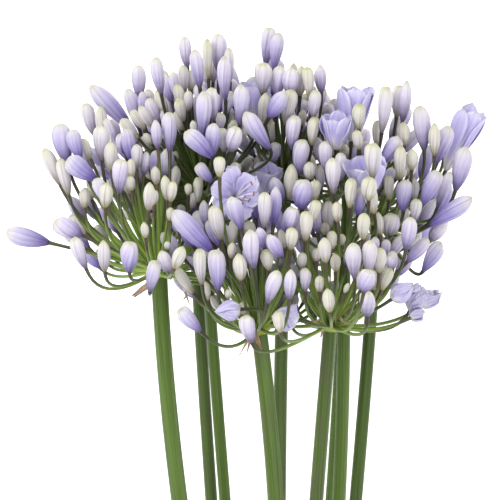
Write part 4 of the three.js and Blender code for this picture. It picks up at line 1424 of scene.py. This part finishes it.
def petal_relief(habit, s, v, mouth, draws):
    """How far a petal stands out of its plain bend, with its margin's ripple, keel and folds."""
    along, across, late = MARGIN_RIPPLE
    depth, width = KEEL
    ripple = (habit["wave"] * mouth * s * s * abs(v) ** late
              * math.sin(along * s + CIRCLE * draws[3] + across * v))
    keel = -depth * mouth * math.exp(-(v / width) ** 2) * s
    fold = math.sin(CREASES[0] * v + CREASES[1] * s + CIRCLE * draws[0])
    keel += habit["crease"] * mouth * fold * s
    return ripple + keel


def petal_grid(sprig, number, draws):
    """One petal's points in rows from its root to its tip, with their place along and across it."""
    habit = HABITS[sprig.habit]
    inner = number % 2
    grip = PETAL_GRIPS[inner]
    loose = habit["disorder"]
    uneven_length, full_length = LENGTH_DISORDER
    mouth = sprig.radius * (1 + loose * (draws[0] - 0.5))
    length = sprig.length * (1 + uneven_length * loose * (draws[1] - full_length))
    length *= PETAL_LENGTHS[inner]
    corners = np.array([(TUBE_RADIUS, 0)] + [(mouth * r, length * z) for r, z in habit["spine"]])
    down, across = flower_frame(sprig)
    points, along, over = [], [], []
    held = cubic_point(corners, habit["parting"])[0] * habit["grip"] * grip
    for s in np.linspace(0, 1, PETAL_STATIONS):
        radial, height = cubic_point(corners, s)
        after, before = min(1, s + SLOPE_STEP), max(0, s - SLOPE_STEP)
        slope = unit(cubic_point(corners, after) - cubic_point(corners, before))
        angle = (math.tau / PETALS * number + TURN_DISORDER * loose * (draws[2] - 0.5)
                 + habit["twist"] * s * s)
        outward = down * math.cos(angle) + across * math.sin(angle)
        sideways = across * math.cos(angle) - down * math.sin(angle)
        normal = outward * slope[1] - sprig.axis * slope[0]
        free = max(0, (s - habit["parting"]) / (1 - habit["parting"]))
        if free > 0:
            half = (held * (1 + habit["flare"] * free)
                    * math.sqrt(max(0, 1 - free ** habit["blunt"])))
        else:
            half = radial * habit["grip"] * grip
        half = max(half, NARROWEST_HALF)
        roundness = max(radial, TIGHTEST_BEND) * mix(1, habit["flat"], free ** 0.5)
        for v in np.linspace(-1, 1, PETAL_COLUMNS):
            side = 1 if v > 0 else -1
            edge = petal_edge(habit, s, free, side, draws)
            turn = min(FURTHEST_WRAP, abs(v) * half * edge / roundness) * side
            lift = petal_relief(habit, s, v, mouth, draws)
            lift -= roundness * (1 - math.cos(turn))
            lift -= INNER_SETBACK * inner
            points.append(sprig.foot + outward * radial + sprig.axis * height
                          + sideways * (roundness * math.sin(turn)) + normal * lift)
            along.append(s)
            over.append(v)
    return points, along, over


def flower_object(name, sprigs, material):
    """The petals of a head's open flowers, thin and closed all round."""
    points, faces, along, over, seeds, faded = [], [], [], [], [], []
    for sprig in sprigs:
        draw = seeded_draw(PETAL_SEED + int(sprig.length * LENGTH_SEEDS))
        for number in range(PETALS):
            faces.extend(grid_faces(len(points), PETAL_STATIONS, PETAL_COLUMNS))
            made, s_values, v_values = petal_grid(sprig, number, [draw() for _ in range(4)])
            points.extend(in_frame(made))
            along.extend(s_values)
            over.extend(v_values)
            seeds.extend([draw()] * len(made))
            faded.extend([HABITS[sprig.habit]["faded"]] * len(made))
    values = {"along": along, "across": over, "edge": np.abs(over), "seed": seeds, "faded": faded}
    return sheet_object(name, points, faces, values, material, PETAL_SKIN, 0)


FILAMENTS = 6
STAMEN_SIDES = 6
STAMEN_STATIONS = 10
STAMEN_SEED = 11
STAMEN_FAN = (1.25, 0.3)  # radians either way from the flower's lower side, and disorder
STAMEN_RISE = (0.75, 0.25)  # least share of their reach, and how much more the longest has
STAMEN_FALL = (0.55, 0.6)  # the same of their sag
STAMEN_FOOT = (0.15, 0.6)  # share of the flower's length, and mm beside its axis
STAMEN_ELBOW = (0.72, 0.35)  # shares of a stamen's own rise and fall
FILAMENT_RADIUS = 0.58
STYLE_RADIUS = 0.42
ANTHER_LEAN = 0.5  # along the flower's axis, for each mm sideways
# An anther from end to end: distance from its middle, and radius.
ANTHER_PROFILE = ((-1.6, .15), (-1.4, .5), (-.7, .68), (0, .56), (.7, .68), (1.4, .5), (1.6, .15))


def stamen_lines(sprig):
    """Six filaments and a style, which sag to the flower's lower side and turn up at their ends."""
    down, across = flower_frame(sprig)
    draw = seeded_draw(STAMEN_SEED + int(sprig.length * LENGTH_SEEDS))
    lines, anthers = [], []
    reach = sprig.length * HABITS[sprig.habit]["reach"]
    sag = sprig.radius * HABITS[sprig.habit]["sag"]
    middle = FILAMENTS // 2
    stations = np.linspace(0, 1, STAMEN_STATIONS)
    for number in range(FILAMENTS + 1):
        fan = (number - middle) / middle * STAMEN_FAN[0] + STAMEN_FAN[1] * (draw() - 0.5)
        out = down * math.cos(fan) + across * math.sin(fan)
        rise = reach * (STAMEN_RISE[0] + STAMEN_RISE[1] * draw())
        fall = sag * (STAMEN_FALL[0] + STAMEN_FALL[1] * draw())
        low = sprig.foot + sprig.axis * (sprig.length * STAMEN_FOOT[0]) + out * STAMEN_FOOT[1]
        elbow = sprig.foot + sprig.axis * (rise * STAMEN_ELBOW[0]) + out * (fall * STAMEN_ELBOW[1])
        top = sprig.foot + sprig.axis * rise + out * fall
        curve = Sprig(low, elbow, top, sprig.axis, 0, 0, 0)
        width = (FILAMENT_RADIUS if number < FILAMENTS else STYLE_RADIUS) * MM
        lines.append(([curve_point(curve, t) for t in stations], {
            "along": stations, "thickness": width, "seed": draw(), "pollen": 0,
        }))
        if number < FILAMENTS:
            lean = sprig.axis * ANTHER_LEAN
            direction = unit(across * math.cos(fan) - down * math.sin(fan) + lean)
            widths = np.array([radius for _, radius in ANTHER_PROFILE]) * MM
            anthers.append(([top + direction * height for height, _ in ANTHER_PROFILE], {
                "along": 1.0, "thickness": widths, "seed": draw(), "pollen": 1,
            }))
    return lines + anthers


# ---- Scraps of the dried bract ----

# Stem, root x and y, tip x and y, height over the hub, width and curl.
BRACT_SCRAPS = (
    (1, -70, 150, -81, 142, 6, 2.2, 0.4), (1, -45, 146, -42, 137, 20, 1.6, 1.0),
    (1, -71, 151, -82, 143, 30, 3.2, 0.3), (2, -41, 147, -47, 140, 20, 1.6, 0.6),
    (4, 3, 118, 8, 106, 8, 4.2, 0.5), (4, 1, 116, -2, 104, 5, 2.6, 0.8),
    (6, 59, 130, 60, 119, 26, 1.4, 1.6), (6, 66, 131, 69, 124, 14, 1.6, 1.2),
    (6, 52, 122, 49, 114, 6, 2.6, 0.7), (6, 50, 127, 40, 124, 34, 1.8, 1.4),
    (6, 62, 128, 72, 121, 34, 1.8, 1.2), (6, 55, 133, 47, 139, 36, 1.5, 1.8),
    (4, -1, 113, -8, 101, 12, 1.4, 1.0),
)
BRACT_STATIONS = 10
BRACT_COLUMNS = (-1, -0.33, 0.33, 1)
BRACT_SKIN = 0.25
BRACT_DROP = 2  # from a scrap's root to its tip
BRACT_CURL = (3, 0.6)  # radians along a scrap for a curl of 1, and how far its width turns with it
BRACT_TAPER = (0.6, 0.12)  # how late it narrows, and half the width that its tip keeps
BRACT_TEAR = (0.8, 0.4)  # least share of its width, and how much more it may have
BRACT_FOLD = 0.35  # depth of its hollow, as a share of its width
BRACT_SEED = 50


def bract_object(name, rows, stems, material):
    """Torn, curled strips of dry paper at the heads' feet."""
    points, faces, along, over, seeds = [], [], [], [], []
    up = point(0, 0, 1)
    for number, row in enumerate(rows):
        stem_number, x0, y0, x1, y1, rise, width, curl = row
        hub = stems[stem_number - 1].hub
        root, tip = point(x0, y0, hub[2] + rise), point(x1, y1, hub[2] + rise - BRACT_DROP)
        run = tip - root
        side = unit(np.cross(run, up))
        draw = seeded_draw(number + BRACT_SEED)
        faces.extend(grid_faces(len(points), BRACT_STATIONS, len(BRACT_COLUMNS)))
        for s in np.linspace(0, 1, BRACT_STATIONS):
            turn = curl * BRACT_CURL[0] * s
            lift = up * (width * curl * math.sin(turn))
            torn = BRACT_TEAR[0] + BRACT_TEAR[1] * draw()
            half = width / 2 * (1 - s) ** BRACT_TAPER[0] * torn + BRACT_TAPER[1]
            lean = turn * BRACT_CURL[1]
            across = side * math.cos(lean) + up * math.sin(lean)
            for v in BRACT_COLUMNS:
                fold = up * (BRACT_FOLD * width * (v * v - 0.5))
                points.append(in_frame(root + run * s + lift + fold + across * (v * half)))
                along.append(s)
                over.append(v)
                seeds.append(number)
    values = {"along": along, "across": over, "seed": seeds}
    return sheet_object(name, points, faces, values, material, BRACT_SKIN, -1)


# ---- Settings ----


class AgapanthusSizes(bpy.types.PropertyGroup):
    buds_per_head: bpy.props.IntProperty(
        name="Buds per head", description="Closed buds on each head", default=92, min=20, max=110)
    pedicel_root: bpy.props.FloatProperty(
        name="Pedicel at its root", description="Radius where a pedicel leaves the receptacle",
        default=1.4 * MM, unit="LENGTH")
    pedicel_slim: bpy.props.FloatProperty(
        name="Pedicel on its way", description="Radius of a pedicel's slim stretch",
        default=1.18 * MM, unit="LENGTH")
    pedicel_joint: bpy.props.FloatProperty(
        name="Pedicel under its bud", description="Radius of the swelling under a bud",
        default=1.5 * MM, unit="LENGTH")
    scape_sides: bpy.props.IntProperty(
        name="Scape sides", description="Sides of a scape's section", default=28, min=8)
    pedicel_sides: bpy.props.IntProperty(
        name="Pedicel sides", description="Sides of a pedicel's section", default=8, min=5)
    view_width: bpy.props.FloatProperty(
        name="View width", description="Width of what the camera sees", default=0.35,
        unit="LENGTH")
    view_distance: bpy.props.FloatProperty(
        name="View distance", description="Camera to the middle of the heads", default=6.0,
        unit="LENGTH")


def colour_property(name, description, colour):
    return bpy.props.FloatVectorProperty(
        name=name, description=description, subtype="COLOR", size=3, min=0, max=1, default=colour)


class AgapanthusColours(bpy.types.PropertyGroup):
    stem: colour_property("Stem green", "Body colour of the scapes", shade(75, 99, 30))
    pedicel: colour_property("Pedicel green", "Lower part of the pedicels", shade(118, 148, 50))
    pedicel_dark: colour_property("Pedicel dark", "Just under a bud", shade(66, 58, 42))
    cream: colour_property("Cream", "Tips and young buds", shade(211, 209, 184))
    lilac: colour_property("Lilac", "Body of a grown bud", shade(203, 197, 219))
    violet: colour_property("Violet", "Foot and veins of a grown bud", shade(118, 104, 176))
    anther: colour_property("Anther brown", "Anthers", shade(120, 84, 46))
    bract: colour_property("Dry bract", "Scraps of the bract", shade(198, 176, 150))
    floor: colour_property("Table", "The plain surface", (0.86, 0.86, 0.86))


# ---- Operators ----


class AGAPANTHUS_OT_scapes(bpy.types.Operator):
    """Replaces the frame's nine scapes with round, streaked ones"""

    bl_idname = "agapanthus.scapes"
    bl_label = "Scapes"

    def execute(self, context):
        sizes, colours = context.scene.agapanthus_sizes, context.scene.agapanthus_colours
        paint, tree = scape_paint(colours), stalk_tree()
        for stem in bunch(context):
            lines = [scape_line(stem)]
            thing = polylines(f"scape_skin_{stem.number}", lines,
                              ("along", "thickness", "seed", "flush", "tone"))
            settle(thing, tree, Sides=sizes.scape_sides, Material=paint)
            finish_piece(thing, [f"scape_{stem.number}"])
        return {"FINISHED"}


class AGAPANTHUS_OT_pedicels(bpy.types.Operator):
    """Grows each head's receptacle and pedicels"""

    bl_idname = "agapanthus.pedicels"
    bl_label = "Pedicels"

    def execute(self, context):
        sizes, colours = context.scene.agapanthus_sizes, context.scene.agapanthus_colours
        paint, tree = pedicel_paint(colours), stalk_tree()
        for stem in bunch(context):
            lines = [receptacle_line(stem)]
            lines += [pedicel_line(stem, sprig, sizes) for sprig in stem.buds + stem.flowers]
            thing = polylines(f"pedicels_{stem.number}", lines,
                              ("along", "thickness", "seed", "age", "tone"))
            settle(thing, tree, Sides=sizes.pedicel_sides, Material=paint)
            finish_piece(thing, [f"umbel_{stem.number}"])
        return {"FINISHED"}


class AGAPANTHUS_OT_buds(bpy.types.Operator):
    """Plants each head's closed buds on its pedicels"""

    bl_idname = "agapanthus.buds"
    bl_label = "Buds"

    def execute(self, context):
        paint = bud_paint(context.scene.agapanthus_colours)
        tree = planting_tree(len(BUD_SHAPES))
        shapes = [bud_shape(name) for name in BUD_SHAPES]
        for stem in bunch(context):
            rows = [bud_row(stem, number, sprig) for number, sprig in enumerate(stem.buds)]
            thing = plant(f"buds_{stem.number}", rows, tree, shapes, paint)
            finish_piece(thing, [f"umbel_{stem.number}"])
        for shape in shapes:
            bpy.data.objects.remove(shape)
        return {"FINISHED"}


class AGAPANTHUS_OT_flowers(bpy.types.Operator):
    """Opens the flowers, with their stamens"""

    bl_idname = "agapanthus.flowers"
    bl_label = "Open flowers"

    def execute(self, context):
        colours = context.scene.agapanthus_colours
        petals, threads, tree = petal_paint(colours), stamen_paint(colours), stalk_tree()
        for stem in bunch(context):
            if not stem.flowers:
                continue
            finish_piece(flower_object(f"flowers_{stem.number}", stem.flowers, petals))
            lines = [line for sprig in stem.flowers for line in stamen_lines(sprig)]
            thing = polylines(f"stamens_{stem.number}", lines,
                              ("along", "thickness", "seed", "pollen"))
            settle(thing, tree, Sides=STAMEN_SIDES, Material=threads)
            finish_piece(thing)
        return {"FINISHED"}


class AGAPANTHUS_OT_bracts(bpy.types.Operator):
    """Adds the scraps of the dried bract at the heads' feet"""

    bl_idname = "agapanthus.bracts"
    bl_label = "Bract scraps"

    def execute(self, context):
        paint = bract_paint(context.scene.agapanthus_colours)
        stems = bunch(context)
        for number in sorted({row[0] for row in BRACT_SCRAPS}):
            rows = [row for row in BRACT_SCRAPS if row[0] == number]
            finish_piece(bract_object(f"bracts_{number}", rows, stems, paint))
        return {"FINISHED"}


HEADS_MIDDLE = (0, 175, 150)  # the point that the camera looks at, in the growth's millimetres
FLOOR_REACH = 4.0
# Name, place from the heads' middle, width and power.
LAMPS = (
    ("window_light", (-1.2, 0.8, 1.8), 1.4, 27), ("fill_light", (0.8, -0.5, 2.2), 2.0, 16),
)
SKY_COLOUR = (1.0, 0.995, 0.985, 1)
SKY_STRENGTH = 0.83
SIGHT = (0.1, 100)  # nearest and furthest that the camera sees


class AGAPANTHUS_OT_stage(bpy.types.Operator):
    """Sets the table, the soft light and the camera straight above the heads"""

    bl_idname = "agapanthus.stage"
    bl_label = "Stage"

    def execute(self, context):
        sizes, colours = context.scene.agapanthus_sizes, context.scene.agapanthus_colours
        corners = [(x * FLOOR_REACH, y * FLOOR_REACH, 0)
                   for x, y in ((-1, -1), (1, -1), (1, 1), (-1, 1))]
        table = new_object("table", corners, (), [(0, 1, 2, 3)])
        table.data.materials.append(floor_paint(colours))
        target = Vector(in_frame(HEADS_MIDDLE))
        for name, place, width, power in LAMPS:
            self.add_lamp(name, target + Vector(place), target, width, power)
        world = bpy.data.worlds.new("Studio")
        world.use_nodes = True
        sky = world.node_tree.nodes["Background"]
        sky.inputs["Color"].default_value = SKY_COLOUR
        sky.inputs["Strength"].default_value = SKY_STRENGTH
        context.scene.world = world
        lens = bpy.data.cameras.new("camera")
        camera = bpy.data.objects.new("camera", lens)
        context.scene.collection.objects.link(camera)
        camera.location = target + Vector((0, 0, sizes.view_distance))
        lens.lens = lens.sensor_width * sizes.view_distance / sizes.view_width
        lens.clip_start, lens.clip_end = SIGHT
        context.scene.camera = camera
        context.scene.view_settings.view_transform = "Standard"
        return {"FINISHED"}

    def add_lamp(self, name, place, target, width, power):
        """A soft round lamp that faces the target."""
        data = bpy.data.lights.new(name, "AREA")
        data.shape = "DISK"
        data.size = width
        data.energy = power
        light = bpy.data.objects.new(name, data)
        light.location = place
        light.rotation_euler = (target - place).to_track_quat("-Z", "Y").to_euler()
        bpy.context.scene.collection.objects.link(light)


class AGAPANTHUS_PT_panel(bpy.types.Panel):
    bl_label = "Agapanthus"
    bl_idname = "AGAPANTHUS_PT_panel"
    bl_space_type = "VIEW_3D"
    bl_region_type = "UI"
    bl_category = "Agapanthus"

    def draw(self, context):
        for group in (context.scene.agapanthus_sizes, context.scene.agapanthus_colours):
            for name in group.__annotations__:
                self.layout.prop(group, name)
        for step in STEPS:
            self.layout.operator(step.bl_idname)


STEPS = (
    AGAPANTHUS_OT_stage, AGAPANTHUS_OT_scapes, AGAPANTHUS_OT_pedicels, AGAPANTHUS_OT_buds,
    AGAPANTHUS_OT_flowers, AGAPANTHUS_OT_bracts,
)
CLASSES = (AgapanthusSizes, AgapanthusColours, *STEPS, AGAPANTHUS_PT_panel)


def register():
    for each in CLASSES:
        bpy.utils.register_class(each)
    bpy.types.Scene.agapanthus_sizes = bpy.props.PointerProperty(type=AgapanthusSizes)
    bpy.types.Scene.agapanthus_colours = bpy.props.PointerProperty(type=AgapanthusColours)


def unregister():
    del bpy.types.Scene.agapanthus_colours
    del bpy.types.Scene.agapanthus_sizes
    for each in reversed(CLASSES):
        bpy.utils.unregister_class(each)


def main():
    register()
    bpy.ops.agapanthus.stage()
    bpy.ops.agapanthus.scapes()
    bpy.ops.agapanthus.pedicels()
    bpy.ops.agapanthus.buds()
    bpy.ops.agapanthus.flowers()
    bpy.ops.agapanthus.bracts()


if __name__ == "__main__":
    main()
